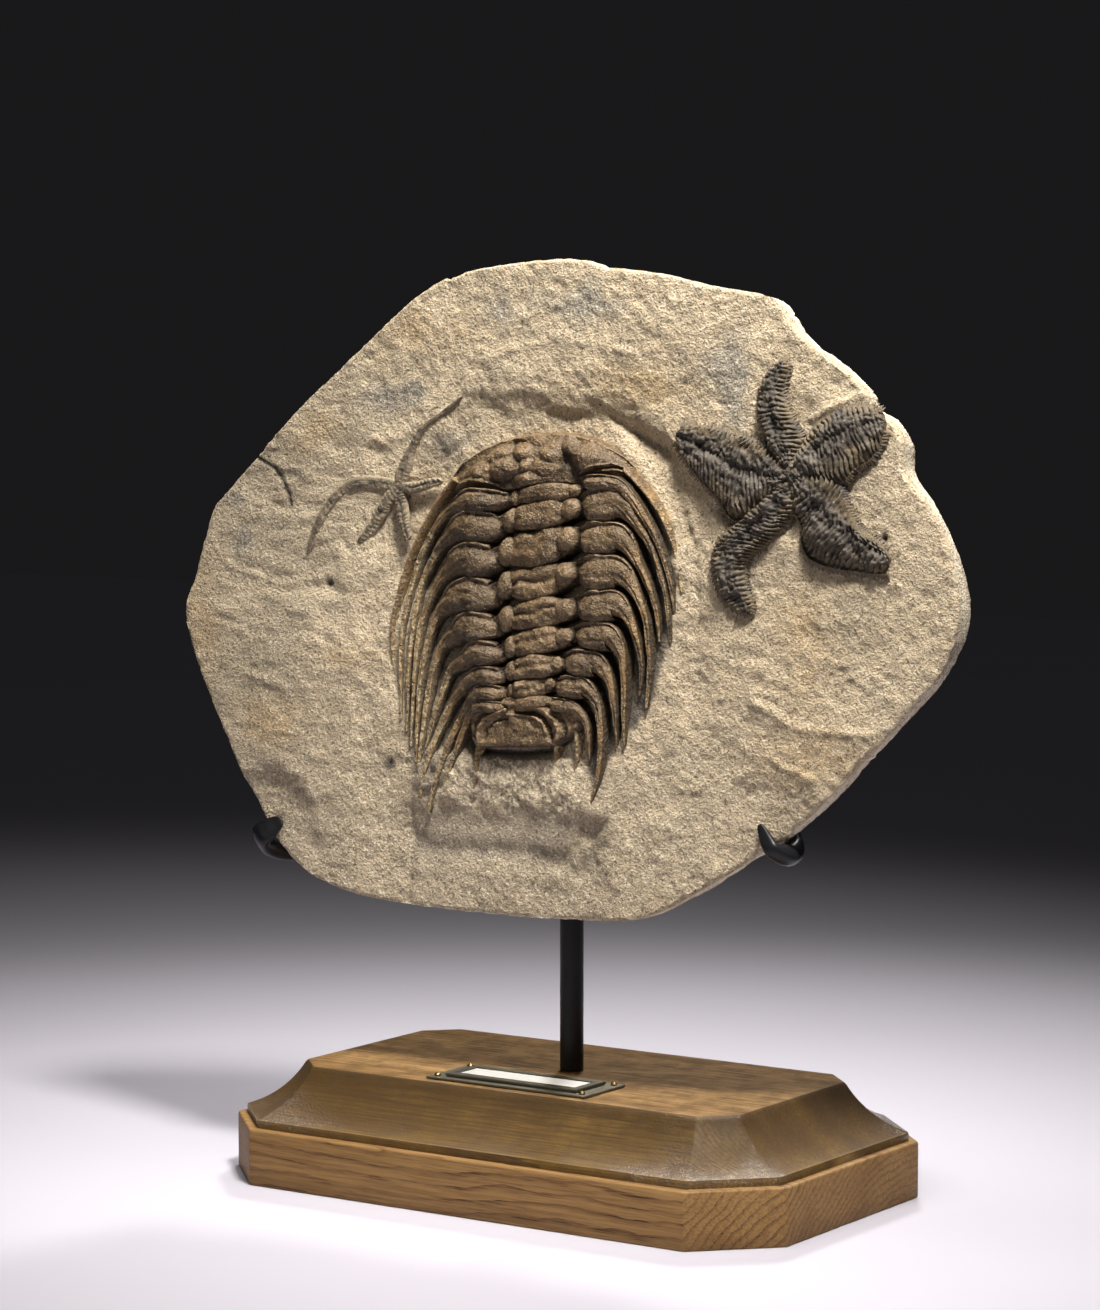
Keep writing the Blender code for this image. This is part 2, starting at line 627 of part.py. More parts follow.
def thin_plate(name, size, z_low, look):
    """A small rectangular plate on the base's top, with its upper edges chamfered."""
    length, depth, thick = size
    corners = [(1, -1), (1, 1), (-1, 1), (-1, -1)]
    rings = []
    for inset, rise in ((0, 0), (0, thick - THIN_CHAMFER), (THIN_CHAMFER, thick)):
        a, b = length / 2 - inset, depth / 2 - inset
        rings.append([(x * a, LABEL_Y + y * b, z_low + rise) for x, y in corners])
    return add_object(name, *loft(rings), look)


def build_label(metal, blank, pin):
    z = BASE_HEIGHT + GAP
    thin_plate("label_plate", LABEL_PLATE, z, metal)
    length, depth, thick = LABEL_PLATE
    z += thick + GAP
    dome = ((1.0, 0.0), (1.0, 0.25), (0.8, 0.7), (0.4, 1.0))
    for i, (x, y) in enumerate(((-1, -1), (1, -1), (-1, 1), (1, 1))):
        middle = Vector((x * (length / 2 - PIN_INSET), LABEL_Y + y * (depth / 2 - PIN_INSET), 0))
        rings = [[Vector(p) + middle for p in circle(PIN_RADIUS * scale, 12, z + PIN_RISE * rise)]
                 for scale, rise in dome]
        add_object("label_pin_%d" % (i + 1), *loft(rings), pin, smooth=50)
    frame = thin_plate("label_frame", LABEL_FRAME, z, metal)
    thin_plate("label_insert", LABEL_INSERT, z, blank)
    length, depth, _ = LABEL_INSERT
    window = thin_plate("label_window", (length + 2 * GAP, depth + 2 * GAP, 6), z - 2, blank)
    boolean(frame, window, "DIFFERENCE")


def main():
    for old in list(bpy.data.objects):
        bpy.data.objects.remove(old)
    black = material("black_metal", (0.02, 0.02, 0.02), 0.4, 0.8)
    plate = bpy.data.objects.new("plate_frame", None)
    plate.location = (0, PLATE_Y * MM, PLATE_Z * MM)
    plate.rotation_euler = (math.radians(90 - PLATE_LEAN), 0, 0)
    bpy.context.scene.collection.objects.link(plate)
    build_slab(plate, material("sandstone", (0.56, 0.46, 0.31), 0.9))
    build_trilobite(plate, material("trilobite_shell", (0.13, 0.08, 0.05), 0.5))
    build_star("large_starfish", LARGE_STAR, LARGE_STAR_SWELLS, plate,
               material("starfish_grey", (0.10, 0.085, 0.07), 0.6))
    build_star("small_starfish", SMALL_STAR, SMALL_STAR_SWELLS, plate,
               material("starfish_brown", (0.33, 0.27, 0.2), 0.8))
    build_base(material("oak", (0.42, 0.2, 0.06), 0.25))
    build_post(black)
    build_bracket(plate, black)
    for name in CLAWS:
        build_claw(name, plate, black)
    build_label(material("dark_bronze", (0.09, 0.08, 0.05), 0.45, 0.8),
                material("silver_card", (0.75, 0.73, 0.68), 0.4, 0.3),
                material("brass", (0.6, 0.42, 0.18), 0.3, 1.0))


main()
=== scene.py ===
import math

import bpy
import numpy as np
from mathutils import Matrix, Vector


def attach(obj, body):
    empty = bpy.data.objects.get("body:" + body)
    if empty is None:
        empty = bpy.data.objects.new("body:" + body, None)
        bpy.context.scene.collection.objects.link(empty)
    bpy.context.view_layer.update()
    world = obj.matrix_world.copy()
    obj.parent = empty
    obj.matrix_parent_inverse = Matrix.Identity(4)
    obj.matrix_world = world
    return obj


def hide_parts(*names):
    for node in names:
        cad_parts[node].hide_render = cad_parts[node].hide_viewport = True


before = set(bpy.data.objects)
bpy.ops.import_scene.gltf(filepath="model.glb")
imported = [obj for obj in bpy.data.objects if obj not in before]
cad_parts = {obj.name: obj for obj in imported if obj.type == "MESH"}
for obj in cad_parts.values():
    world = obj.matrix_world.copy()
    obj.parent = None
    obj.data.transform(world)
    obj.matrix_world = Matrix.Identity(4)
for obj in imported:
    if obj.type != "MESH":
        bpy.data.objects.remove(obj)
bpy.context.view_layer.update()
mm = 0.001

# the plate's own frame: u to the right, v up the plate, w out of its face, all in millimetres
plateFrame = {"y": -24.0, "z": 200.0, "lean": 5.0}


def plateToWorld(u, v, w):
    lean = math.radians(plateFrame["lean"])
    y = plateFrame["y"] + v * math.sin(lean) - w * math.cos(lean)
    z = plateFrame["z"] + v * math.cos(lean) + w * math.sin(lean)
    return np.stack([u + 0 * v, y, z], axis=-1) * mm


# small numeric tools

def ease(t):
    t = np.clip(t, 0.0, 1.0)
    return t * t * (3 - 2 * t)


def ovalPlace(u, v, spot, size, turn):
    # where a point lies in a turned oval, 1 at its edge; turn is in degrees
    c, s = math.cos(math.radians(turn)), math.sin(math.radians(turn))
    du, dv = u - spot[0], v - spot[1]
    return (du * c + dv * s) / size[0], (dv * c - du * s) / size[1]


def hump(u, v, spot, size, turn=0.0):
    # a smooth round mound, 1 at its top
    a, b = ovalPlace(u, v, spot, size, turn)
    return np.exp(-(a * a + b * b))


def mound(u, v, spot, size, turn):
    # a rounder mound with a clear edge
    a, b = ovalPlace(u, v, spot, size, turn)
    return np.clip(1 - a ** 2 - b ** 2, 0, 1) ** 1.15


def smoothNoise(x, y, z, size, seed, octaves):
    # value noise from -1 to 1 on a repeating lattice, summed over octaves
    x, y = np.asarray(x, float), np.asarray(y, float)
    z = np.asarray(z, float) + 0 * x
    side = 32
    table = np.random.default_rng(seed).uniform(-1, 1, (side, side, side))
    total, weight, reach = 0.0, 1.0, 0.0
    for octave in range(octaves):
        scale = 2.03 ** octave / size
        px, py, pz = (q * scale + 11.7 * (octave + 1) for q in (x, y, z))
        ix, iy, iz = (np.floor(q).astype(int) for q in (px, py, pz))
        fx, fy, fz = ease(px - ix), ease(py - iy), ease(pz - iz)
        value = 0.0
        for dx, wx in ((0, 1 - fx), (1, fx)):
            for dy, wy in ((0, 1 - fy), (1, fy)):
                for dz, wz in ((0, 1 - fz), (1, fz)):
                    corner = table[(ix + dx) % side, (iy + dy) % side, (iz + dz) % side]
                    value = value + wx * wy * wz * corner
        total = total + value * weight
        reach += weight
        weight *= 0.55
    return total / reach * 1.6


def toPath(points, steps, closed=False):
    # a Catmull-Rom curve through rows of numbers
    points = np.asarray(points, float)
    count = len(points)
    t = np.arange(steps)[:, None] / steps
    made = []
    for i in range(count if closed else count - 1):
        near = [i - 1, i, i + 1, i + 2]
        near = [k % count if closed else min(max(k, 0), count - 1) for k in near]
        a, b, c, d = points[near]
        made.append(0.5 * (2 * b + (c - a) * t + (2 * a - 5 * b + 4 * c - d) * t ** 2
                           + (3 * b - a - 3 * c + d) * t ** 3))
    if not closed:
        made.append(points[-1:])
    return np.concatenate(made)


def runAlong(path):
    # the distance along a path at each of its points
    return np.concatenate([[0], np.cumsum(np.linalg.norm(np.diff(path[:, :2], axis=0), axis=1))])


def headings(path):
    # the unit direction at each point of a path
    ahead = np.gradient(path[:, :2], axis=0)
    return ahead / np.linalg.norm(ahead, axis=1, keepdims=True)


def ribbon(path, width, s):
    # points across a path, s times its width to the left of it
    ahead = headings(path)
    return path[:, 0:1] - ahead[:, 1:2] * width * s, path[:, 1:2] + ahead[:, 0:1] * width * s


def evenly(path, count, closed=False):
    # the same curve with equal steps along its first two numbers
    if closed:
        path = np.concatenate([path, path[:1]])
    run = runAlong(path)
    where = np.linspace(0, run[-1], count + 1 if closed else count)
    made = np.stack([np.interp(where, run, path[:, k]) for k in range(path.shape[1])], axis=1)
    return made[:-1] if closed else made


def distanceTo(u, v, path, closed=False):
    # distance from points to a polyline
    path = np.asarray(path, float)[:, :2]
    ends = np.roll(path, -1, axis=0) if closed else path[1:]
    nearest = np.full(np.shape(u), np.inf)
    for a, b in zip(path, ends):
        along = b - a
        t = ((u - a[0]) * along[0] + (v - a[1]) * along[1]) / max(along @ along, 1e-9)
        t = np.clip(t, 0, 1)
        gap = np.hypot(u - a[0] - along[0] * t, v - a[1] - along[1] * t)
        nearest = np.minimum(nearest, gap)
    return nearest


def outsideDistance(u, v, outline):
    # distance from points to a closed outline, 0 inside it
    outline = np.asarray(outline, float)
    inside = np.zeros(np.shape(u), bool)
    for a, b in zip(outline, np.roll(outline, -1, axis=0)):
        if a[1] == b[1]:
            continue
        crossing = (b[0] - a[0]) * (v - a[1]) / (b[1] - a[1]) + a[0]
        inside ^= ((a[1] > v) != (b[1] > v)) & (u < crossing)
    return np.where(inside, 0.0, distanceTo(u, v, outline, closed=True))


def nearLine(u, v, path, half):
    # 1 on a line, fading to both sides
    return np.exp(-(distanceTo(u, v, path) / half) ** 2)


def nearPatch(u, v, outline, soft):
    # 1 inside an outline, fading out round it
    return 1 - ease(outsideDistance(u, v, outline) / soft)


def circle(count):
    return np.linspace(0, 2 * math.pi, count, endpoint=False)


# meshes

def addObject(name, data):
    made = bpy.data.objects.new(name, data)
    bpy.context.scene.collection.objects.link(made)
    return made


def meshPiece(name, points, faces, look, node, sharp, marks=None):
    # points are in metres; marks are named values at each point for the material
    mesh = bpy.data.meshes.new(name)
    mesh.from_pydata(np.asarray(points).tolist(), [], faces)
    mesh.validate()
    mesh.materials.append(look)
    mesh.shade_smooth()
    mesh.set_sharp_from_angle(angle=math.radians(sharp))
    for key, values in (marks or {}).items():
        layer = mesh.attributes.new(key, "FLOAT", "POINT")
        layer.data.foreach_set("value", np.asarray(values, np.float32))
    piece = addObject(name, mesh)
    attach(piece, "root")
    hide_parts(node)


def ringFaces(rows, count, start=0, flip=False):
    # quads between closed rings of points stored one after another
    faces = []
    for i in range(rows - 1):
        for j in range(count):
            a = start + i * count + j
            b = start + i * count + (j + 1) % count
            face = (a, b, b + count, a + count)
            faces.append(face[::-1] if flip else face)
    return faces


def loftFaces(rows, count):
    # the same, capped at both ends
    caps = [tuple(range(count))[::-1], tuple(range((rows - 1) * count, rows * count))]
    return ringFaces(rows, count) + caps


def stitch(first, firstCount, second, secondCount):
    # triangles between two rings of different counts
    faces = []
    i = j = 0
    while i < firstCount or j < secondCount:
        a, b = first + i % firstCount, second + j % secondCount
        if j >= secondCount or (i < firstCount and (i + 1) / firstCount <= (j + 1) / secondCount):
            i += 1
            faces.append((b, first + i % firstCount, a))
        else:
            j += 1
            faces.append((b, second + j % secondCount, a))
    return faces


def widened(grid):
    # a grid with its first and last columns doubled
    return np.concatenate([grid[:, :1], grid, grid[:, -1:]], axis=1)


def footed(u, v, w, foot):
    # a grid of points with a foot down each of its sides
    low = np.full((len(w), 1), foot)
    return np.stack([widened(u), widened(v), np.concatenate([low, w, low], axis=1)], axis=2)


class Shape:
    # gathers the lofts of one piece: points in the plate's frame, faces and marks
    def __init__(self):
        self.points, self.faces, self.marks, self.count = [], [], [], 0

    def loft(self, grid, marks):
        # grid is rows of closed rings, marks the values at its points
        rows, count, _ = grid.shape
        self.points.append(grid.reshape(-1, 3))
        self.faces += [tuple(k + self.count for k in face) for face in loftFaces(rows, count)]
        self.marks.append(marks.reshape(rows * count, -1))
        self.count += rows * count

    def build(self, name, look, markNames, slot, node, sharp):
        marks = np.concatenate(self.marks)
        world = plateToWorld(*np.concatenate(self.points).T)
        named = {key: marks[:, i] for i, key in enumerate(markNames)}
        meshPiece(name, world, self.faces, look, node, sharp, named)


# materials

class Look:
    # a short way to write a material's nodes
    def __init__(self, name):
        self.material = bpy.data.materials.new(name)
        self.material.use_nodes = True
        self.tree = self.material.node_tree
        self.shader = self.tree.nodes["Principled BSDF"]
        self.place = self.node("ShaderNodeTexCoord").outputs["Object"]

    def node(self, kind, inputs=None, **settings):
        made = self.tree.nodes.new(kind)
        for key, value in settings.items():
            setattr(made, key, value)
        self.fill(made, inputs or {})
        return made

    def fill(self, node, inputs):
        # links a socket or sets a plain value on it, and leaves it alone for None
        for key, value in inputs.items():
            socket = node.inputs[key]
            if value is None:
                continue
            if hasattr(value, "links"):
                self.tree.links.new(value, socket)
            else:
                socket.default_value = (*value, 1.0) if socket.type == "RGBA" else value

    def stretched(self, scale, turn=(0, 0, 0)):
        turn = [math.radians(a) for a in turn]
        inputs = {"Vector": self.place, "Scale": scale, "Rotation": turn}
        return self.node("ShaderNodeMapping", inputs).outputs["Vector"]

    def noise(self, scale, detail, rough, place=None):
        inputs = {"Vector": place or self.place, "Scale": scale, "Detail": detail, "Roughness": rough}
        return self.node("ShaderNodeTexNoise", inputs).outputs["Fac"]

    def cells(self, scale):
        return self.node("ShaderNodeTexVoronoi", {"Vector": self.place, "Scale": scale}).outputs["Distance"]

    def mark(self, name):
        return self.node("ShaderNodeAttribute", attribute_name=name).outputs["Fac"]

    def edges(self):
        return self.node("ShaderNodeNewGeometry").outputs["Pointiness"]

    def range(self, value, low, high, to=(0.0, 1.0)):
        inputs = {"Value": value, "From Min": low, "From Max": high, "To Min": to[0], "To Max": to[1]}
        return self.node("ShaderNodeMapRange", inputs, clamp=True).outputs["Result"]

    def maths(self, operation, a, b):
        return self.node("ShaderNodeMath", {0: a, 1: b}, operation=operation).outputs["Value"]

    def times(self, a, b):
        return self.maths("MULTIPLY", a, b)

    def blend(self, factor, a, b):
        # sockets 6, 7 and 2 are the colours of a mix
        return self.node("ShaderNodeMix", {0: factor, 6: a, 7: b}, data_type="RGBA").outputs[2]

    def bump(self, height, distance, strength, normal):
        inputs = {"Height": height, "Distance": distance, "Strength": strength, "Normal": normal}
        return self.node("ShaderNodeBump", inputs).outputs["Normal"]

    def relief(self, *layers):
        # bumps one over another, each by height, distance and strength
        normal = None
        for height, distance, strength in layers:
            normal = self.bump(height, distance, strength, normal)
        return normal

    def start(self, factor, dark, light):
        # the ground colour
        self.colour = self.blend(factor, dark, light)

    def lay(self, tint, factor, share=None):
        # a tint over the colour so far
        self.colour = self.blend(self.times(factor, share) if share else factor, self.colour, tint)

    def finish(self, roughness, normal, **more):
        inputs = {"Base Color": self.colour, "Roughness": roughness, "Normal": normal, **more}
        self.fill(self.shader, inputs)
        return self.material


# the stone plate: a fine sheet of rings shrunk from its outline, a chipped sawn edge and a broken back

crackPath = [(-144, 88.5), (-138, 86), (-133, 84), (-129, 79), (-126, 73), (-125, 69)]
slab = {
    "middle": (0.0, 40.0), "rings": 160, "around": 6, "edgePoints": 960, "backRings": 44,
    "bevel": 1.0, "sawnTo": -7.0, "backTo": -12.8, "backInset": 7.5, "backAround": 320, "backLevel": -13.6,
    "faceRise": 3.0, "scoopDepth": -1.5,
    "outline": [(-178.3, 19), (-174.5, 40), (-167.5, 65), (-161, 73), (-144, 89), (-122.5, 109),
                (-90, 135.5), (-65, 154.5), (-48, 163), (-27, 166.5), (0, 168.8), (16, 168), (23, 165.6),
                (50, 162.5), (75, 157.5), (100, 152.5), (111, 140.5), (119, 134), (125, 131), (141, 119),
                (144.5, 112), (152.5, 107.5), (158.3, 100), (160, 87.5), (174, 71), (182, 52), (185, 33),
                (180, 17), (168, 2), (145, -23), (122, -45), (90, -67), (60, -84), (35, -88.5),
                (-15, -90.3), (-70, -88.8), (-105, -82), (-124, -70), (-140, -49), (-158.8, -20)],
    "bed": [(-50, 86), (-38, 99), (-18, 106), (8, 107), (28, 103), (46, 92), (60, 76), (69, 55), (72, 25),
            (64, -5), (48, -40), (20, -60), (-60, -62), (-72, -40), (-80, 0), (-76, 32), (-66, 58)],
    "scoop": [(-60, -60), (8, -60), (22, -66), (26, -78), (24, -130), (-62, -130)],
    "claws": [(-129.5, -64.5), (109.5, -53.7)],
    # low mounds and hollows: middle, half sizes, turn, height
    "mounds": [((-5, -38), (34, 10), 0, 0.9), ((-30, -33), (14, 5), 12, 0.8),
               ((26, -44), (12, 7), -25, 1.2), ((-52, -42), (9, 9), 0, 1.0), ((52, 101), (16, 7), -32, 1.3),
               ((-84, 30), (10, 26), 8, 1.2), ((86, 52), (9, 16), 10, 0.7), ((110, 58), (8, 9), 0, 1.8),
               ((126, 114), (14, 6), -20, 1.4), ((-110, -69), (9, 5), -25, -1.3),
               ((-103, 38), (1.8, 1.5), 0, -1.6), ((153, 63), (1.3, 1.3), 0, -2.4),
               ((-71, -34), (2.2, 3), 0, -1.3), ((88, 73), (9, 5), 20, -1.5),
               ((30, -52), (9, 3.5), 35, -1.2)],
    # lines: points, half width, height
    "lines": [([(36, 94), (48, 81), (57, 66), (63, 50)], 5.0, 2.2),
              ([(40, 103), (54, 93), (68, 79), (76, 62)], 4.5, -1.6),
              ([(28, 107), (48, 97), (60, 93)], 2.2, -1.5),
              ([(120, 107), (130, 112), (143, 117)], 1.6, 1.3),
              ([(100, 0), (120, -9), (150, -10)], 2.0, 0.8), ([(110, -22), (127, -28)], 1.5, 0.7),
              ([(-117, 50), (-98, 56), (-93, 52)], 1.3, -0.6), (crackPath, 0.7, -0.9),
              ([(-59, -50), (-58, -66), (-60, -88)], 1.2, -1.0),
              ([(-30, 130), (5, 138), (40, 131)], 2.2, 0.6),
              ([(-78, 96), (-60, 103), (-52, 118)], 3.0, 0.6),
              ([(-156, 44), (-128, 36), (-108, 40)], 1.6, 0.5),
              ([(-160, 22), (-136, 16), (-112, 19), (-96, 12)], 1.6, -0.5),
              ([(-150, 2), (-122, -6), (-100, -3)], 1.6, 0.5),
              ([(33, -46), (30, -57), (22, -66), (10, -74)], 3.0, 1.0),
              ([(24, -50), (21, -60), (12, -68)], 3.0, -0.5)],
    # the low curl under the crust, and the narrow ditch round the tail
    "curl": [(-57, -62), (-50, -66.5), (-30, -65.5), (-5, -65), (12, -67), (22, -69.5), (28, -64),
             (31, -54)],
    "moat": [(-34.4, -16.4), (-32, -22.2), (-28.1, -26.6), (-21.6, -25.8), (-5.7, -25.7), (6.9, -23.9),
             (11.9, -21), (20.5, -14.1)],
    # chips in the outline: place and size
    "chips": [((141, 119), 3.0), ((144.5, 112), 2.5), ((158, 100), 3.0), ((23, 166), 3.0),
              ((106, 146), 4.0), ((-48, 163), 4.0), ((149, -20), 5.0), ((-161, 73), 3.0)],
    # coloured places: middle and half sizes
    "grey": [((-81, 112), (9, 6)), ((-65, 116), (7, 4)), ((-152, 71), (6, 4)), ((-150, 55), (5, 5)),
             ((-48, 96), (10, 8)), ((12, 150), (30, 7)), ((78, 128), (12, 10)), ((84, 118), (6, 14))],
    "ochre": [((126, -20), (20, 11)), ((-115, 100), (14, 9)), ((-95, 10), (16, 5)), ((-168, 20), (9, 22)),
              ((40, 118), (30, 9)), ((-60, 140), (22, 9)), ((118, 20), (12, 20)), ((-130, -20), (20, 10))],
    # dark: painted shade in the pits and hollows
    "dark": [((-71, -34), (2.6, 3.2)), ((153, 63), (1.6, 1.6)), ((-103, 38), (2, 1.6)), ((88, 71), (8, 4))],
    # the stone between the right spines, painted dark as their shadow, and the sheaf of left spines, painted
    # with part of that shadow and rough with grains
    "between": [(36, 84), (50, 73), (59, 58), (60.5, 40), (57, 20), (53, 0), (45, -12), (38, -14),
                (31, -34), (27, -30), (28, 0), (33, 30)],
    "sheaf": [(-38, 74), (-48, 62), (-58, 40), (-63, 15), (-63, -15), (-57, -40), (-50, -48), (-36, -22),
              (-32, -5), (-36, 30)],
}


def slabOutline():
    # the outline at even steps, counter-clockwise from the front, with its small chips
    path = evenly(toPath(slab["outline"], 8, closed=True)[::-1], slab["edgePoints"], closed=True)
    path[:, 0] += 0.75 * ease((-160 - path[:, 0]) / 17)
    u, v = path.T
    nicks = 0.35 + 0.45 * np.clip(smoothNoise(u, v, 5, 5.0, 41, 3), 0, 1)
    for spot, size in slab["chips"]:
        close = np.exp(-((u - spot[0]) ** 2 + (v - spot[1]) ** 2) / size ** 2)
        nicks = nicks + close * np.abs(smoothNoise(u, v, 9, 2.2, 42, 2)) * 1.6
    middle = np.array(slab["middle"])
    away = path - middle
    return middle + away * (1 - nicks[:, None] / np.linalg.norm(away, axis=1, keepdims=True))


def faceHeight(u, v):
    # height of the prepared face over its zero level, before the fine grain
    rise = slab["faceRise"]
    fromBed = outsideDistance(u, v, slab["bed"])
    fromBed = np.maximum(fromBed + 7.0 * smoothNoise(u, v, 1, 20.0, 2, 2) * ease(fromBed / 4), 0)
    height = rise * (0.35 + 0.65 * ease((v + 0.35 * np.abs(u + 40) + 40) / 90))
    height = height + 1.3 * smoothNoise(u, v, 3, 44.0, 1, 1) * ease((fromBed - 4) / 30)
    for star in (largeStar, smallStar):
        pad = 1 - ease((armDistance(u, v, star) - 8) / 12)
        height = height + (rise - height) * pad
    height = height * ease(fromBed / 15)
    height = height + (slab["scoopDepth"] - height) * nearPatch(u, v, slab["scoop"], 22)
    for spot, size, turn, lift in slab["mounds"]:
        height = height + lift * hump(u, v, spot, size, turn)
    for path, half, lift in slab["lines"] + [(slab["moat"], 1.5, -2.6), (slab["curl"], 4.2, -1.4)]:
        height = height + lift * nearLine(u, v, path, half)
    for spot in slab["claws"]:
        height = height * ease((np.hypot(u - spot[0], v - spot[1]) - 17) / 12)
    return height


def armDistance(u, v, star):
    nearest = np.full(np.shape(u), np.inf)
    for arm in star["arms"]:
        if "left" in arm:
            gap = outsideDistance(u, v, [star["middle"]] + arm["left"] + arm["right"][::-1])
            nearest = np.minimum(nearest, gap)
            continue
        path = [(*star["middle"], arm["line"][0][2])] + arm["line"]
        for a, b in zip(path, path[1:]):
            nearest = np.minimum(nearest, distanceTo(u, v, [a, b]) - max(a[2], b[2]))
    return nearest


largeStar = {
    "middle": (113.9, 85.6), "rise": 6.0, "steps": 150, "across": 48, "ridge": 0.6, "pitch": 1.9,
    "disc": 10.5, "pit": (111.5, 83.5),
    # each arm by its two edges and the line between, from the middle out; sunk is the depth of that line,
    # steep the fall to its left and right side, ribs how much stronger its ribs are
    "arms": [{"left": [(104.9, 92.8), (100.4, 100.2), (97.1, 107.6), (96.7, 115.1), (98.3, 121.3),
                       (102.3, 126.9), (107.2, 129.4)],
              "crest": [(112.9, 90.5), (108.1, 99.1), (104.0, 109.0), (102.9, 115.1), (104.0, 121.4),
                        (106.6, 126.9), (107.6, 128.8)],
              "right": [(117.5, 98.0), (113.0, 106.6), (109.8, 112.7), (108.1, 117.0), (109.0, 122.6),
                        (109.5, 126.9), (107.9, 129.4)],
              "sunk": 0.14},
             {"left": [(116.1, 96.7), (122.8, 105.7), (132.3, 111.0), (139.3, 112.7), (145.5, 112.5),
                       (149.8, 111)],
              "crest": [(116.6, 88.1), (127.5, 97.5), (137.0, 103.1), (145.2, 105.4), (151.6, 106.0)],
              "right": [(133.9, 82.2), (140.7, 87.3), (146.1, 90.4), (149.3, 93.7), (151.3, 98.2),
                        (152.4, 102.0)],
              "sunk": 0.26},
             {"left": [(129, 88), (135.2, 82.0), (138.9, 73.8), (142.4, 68.3), (148.2, 64.2), (155.4, 60.2)],
              "crest": [(116.9, 83.1), (124.5, 73.4), (133.4, 67.5), (143.4, 62.9), (156.6, 55.9)],
              "right": [(113.9, 73.2), (117.9, 65.9), (117.9, 59.7), (122.8, 53.1), (135.7, 49.8),
                        (155.3, 48.6)],
              "sunk": 0.16, "steep": (1.0, 1.15), "ribs": 1.5},
             {"left": [(117.0, 74), (110.9, 64.2), (99.8, 56.5), (95.9, 52.3), (95.7, 44.8), (99.1, 36.8),
                       (98.7, 33.3)],
              "crest": [(113.5, 80.6), (103.3, 70.5), (93.6, 61.5), (88.2, 53.9), (88.4, 45.2),
                        (97.4, 32.8)],
              "right": [(100, 76), (92.0, 69.3), (83.4, 62.5), (79.6, 56.2), (79.8, 48.6), (82.8, 40.6),
                        (88.1, 34.9), (95.6, 32.3)],
              "sunk": 0.12},
             {"left": [(104, 74), (95.5, 67.5), (87, 67.5), (80.9, 75.0), (72.6, 82.0), (64.6, 90.0),
                       (59.8, 96.4)],
              "crest": [(111.1, 84.3), (96.7, 86.3), (81.7, 91.9), (71.2, 96.7), (61.2, 100.2)],
              "right": [(107.6, 95.4), (97.4, 99.2), (85.6, 102.2), (72.3, 104.4), (63.0, 104.6)],
              "sunk": 0.3, "steep": (1.05, 1.0), "ribs": 1.4}],
}
smallStar = {
    "middle": (-69.7, 78.0), "rise": 1.3, "steps": 90, "across": 18, "ridge": 0.22, "pitch": 1.8,
    # the rows of an arm: place and half width
    "arms": [{"line": [(-68.5, 83, 3.2), (-66.7, 87, 2.9), (-65, 91.8, 2.0), (-61.5, 98, 1.7),
                       (-57.8, 102.3, 1.2), (-49.3, 108.2, 0.9), (-40.9, 114.2, 0.6)],
              "sunk": 0.1},
             {"line": [(-64.4, 77.5, 2.4), (-60.8, 77.8, 2.3), (-53.8, 79.8, 1.9), (-48.5, 80.4, 1.0)],
              "sunk": 0.35},
             {"line": [(-78.8, 79, 2.8), (-89.6, 79.0, 2.7), (-97.7, 76.0, 2.4), (-105.2, 69.3, 2.3),
                       (-109.6, 61.8, 2.2), (-114, 50.7, 1.6)],
              "sunk": 0.1},
             {"line": [(-74.8, 72.8, 2.9), (-78.9, 66.2, 2.7), (-83.9, 59.6, 2.4), (-89, 54.7, 1.4)],
              "sunk": 0.2},
             {"line": [(-69, 73, 2.8), (-66.7, 65.1, 2.6), (-64, 56.5, 1.6)], "sunk": 0.35}],
}


def crustShare(u, v):
    # the rough crust left below the tail, soft at its top and broken off sharply below
    uw = u + 3.0 * smoothNoise(u, v, 0, 9.0, 16, 2)
    vw = v + 1.6 * smoothNoise(u, v, 0, 7.0, 17, 2)
    across = ease((uw + 60) / 6) * ease((30 - uw) / 9)
    return across * ease((vw + 56.0) / 12.0) * ease((-25.5 - vw) / 2.5)


def smoothBand(u, v):
    # the smooth ground strip under the crust
    wobble = 1.2 * smoothNoise(u, v, 0, 9.0, 18, 2)
    edge = 24 - 0.5 * np.clip(-52 - v, 0, 20)
    across = ease((u + 60) / 2.5) * ease((edge - u + wobble) / 5)
    return across * ease((v + 71 + wobble) / 5) * ease((-49 - v) / 3)


def stoneGrain(u, v):
    # the tooled texture of the face: coarse waves, chisel marks and grains
    waves = 0.75 * smoothNoise(u, v, 0, 19.0, 11, 3)
    tooled = 0.38 * smoothNoise(u, v, 0, 5.0, 12, 2)
    grains = 0.34 * smoothNoise(u, v, 0, 2.1, 13, 2)
    # the left part follows its bedding, drawn out along u
    left = ease((-80 - u) / 25)
    layers = 0.55 * smoothNoise(u / 3.2, v, 0, 4.2, 14, 3)
    crust = crustShare(u, v)
    lumps = crust * (1.2 + 1.0 * smoothNoise(u, v, 0, 8.0, 15, 2) + 0.6 * smoothNoise(u, v, 0, 2.4, 19, 2))
    calm = 1 - 0.65 * left - 0.7 * smoothBand(u, v) * (1 - crust)
    return waves + (tooled + grains) * calm + layers * left + lumps


def patches(u, v, places):
    return sum(hump(u, v, spot, size) for spot, size in places)


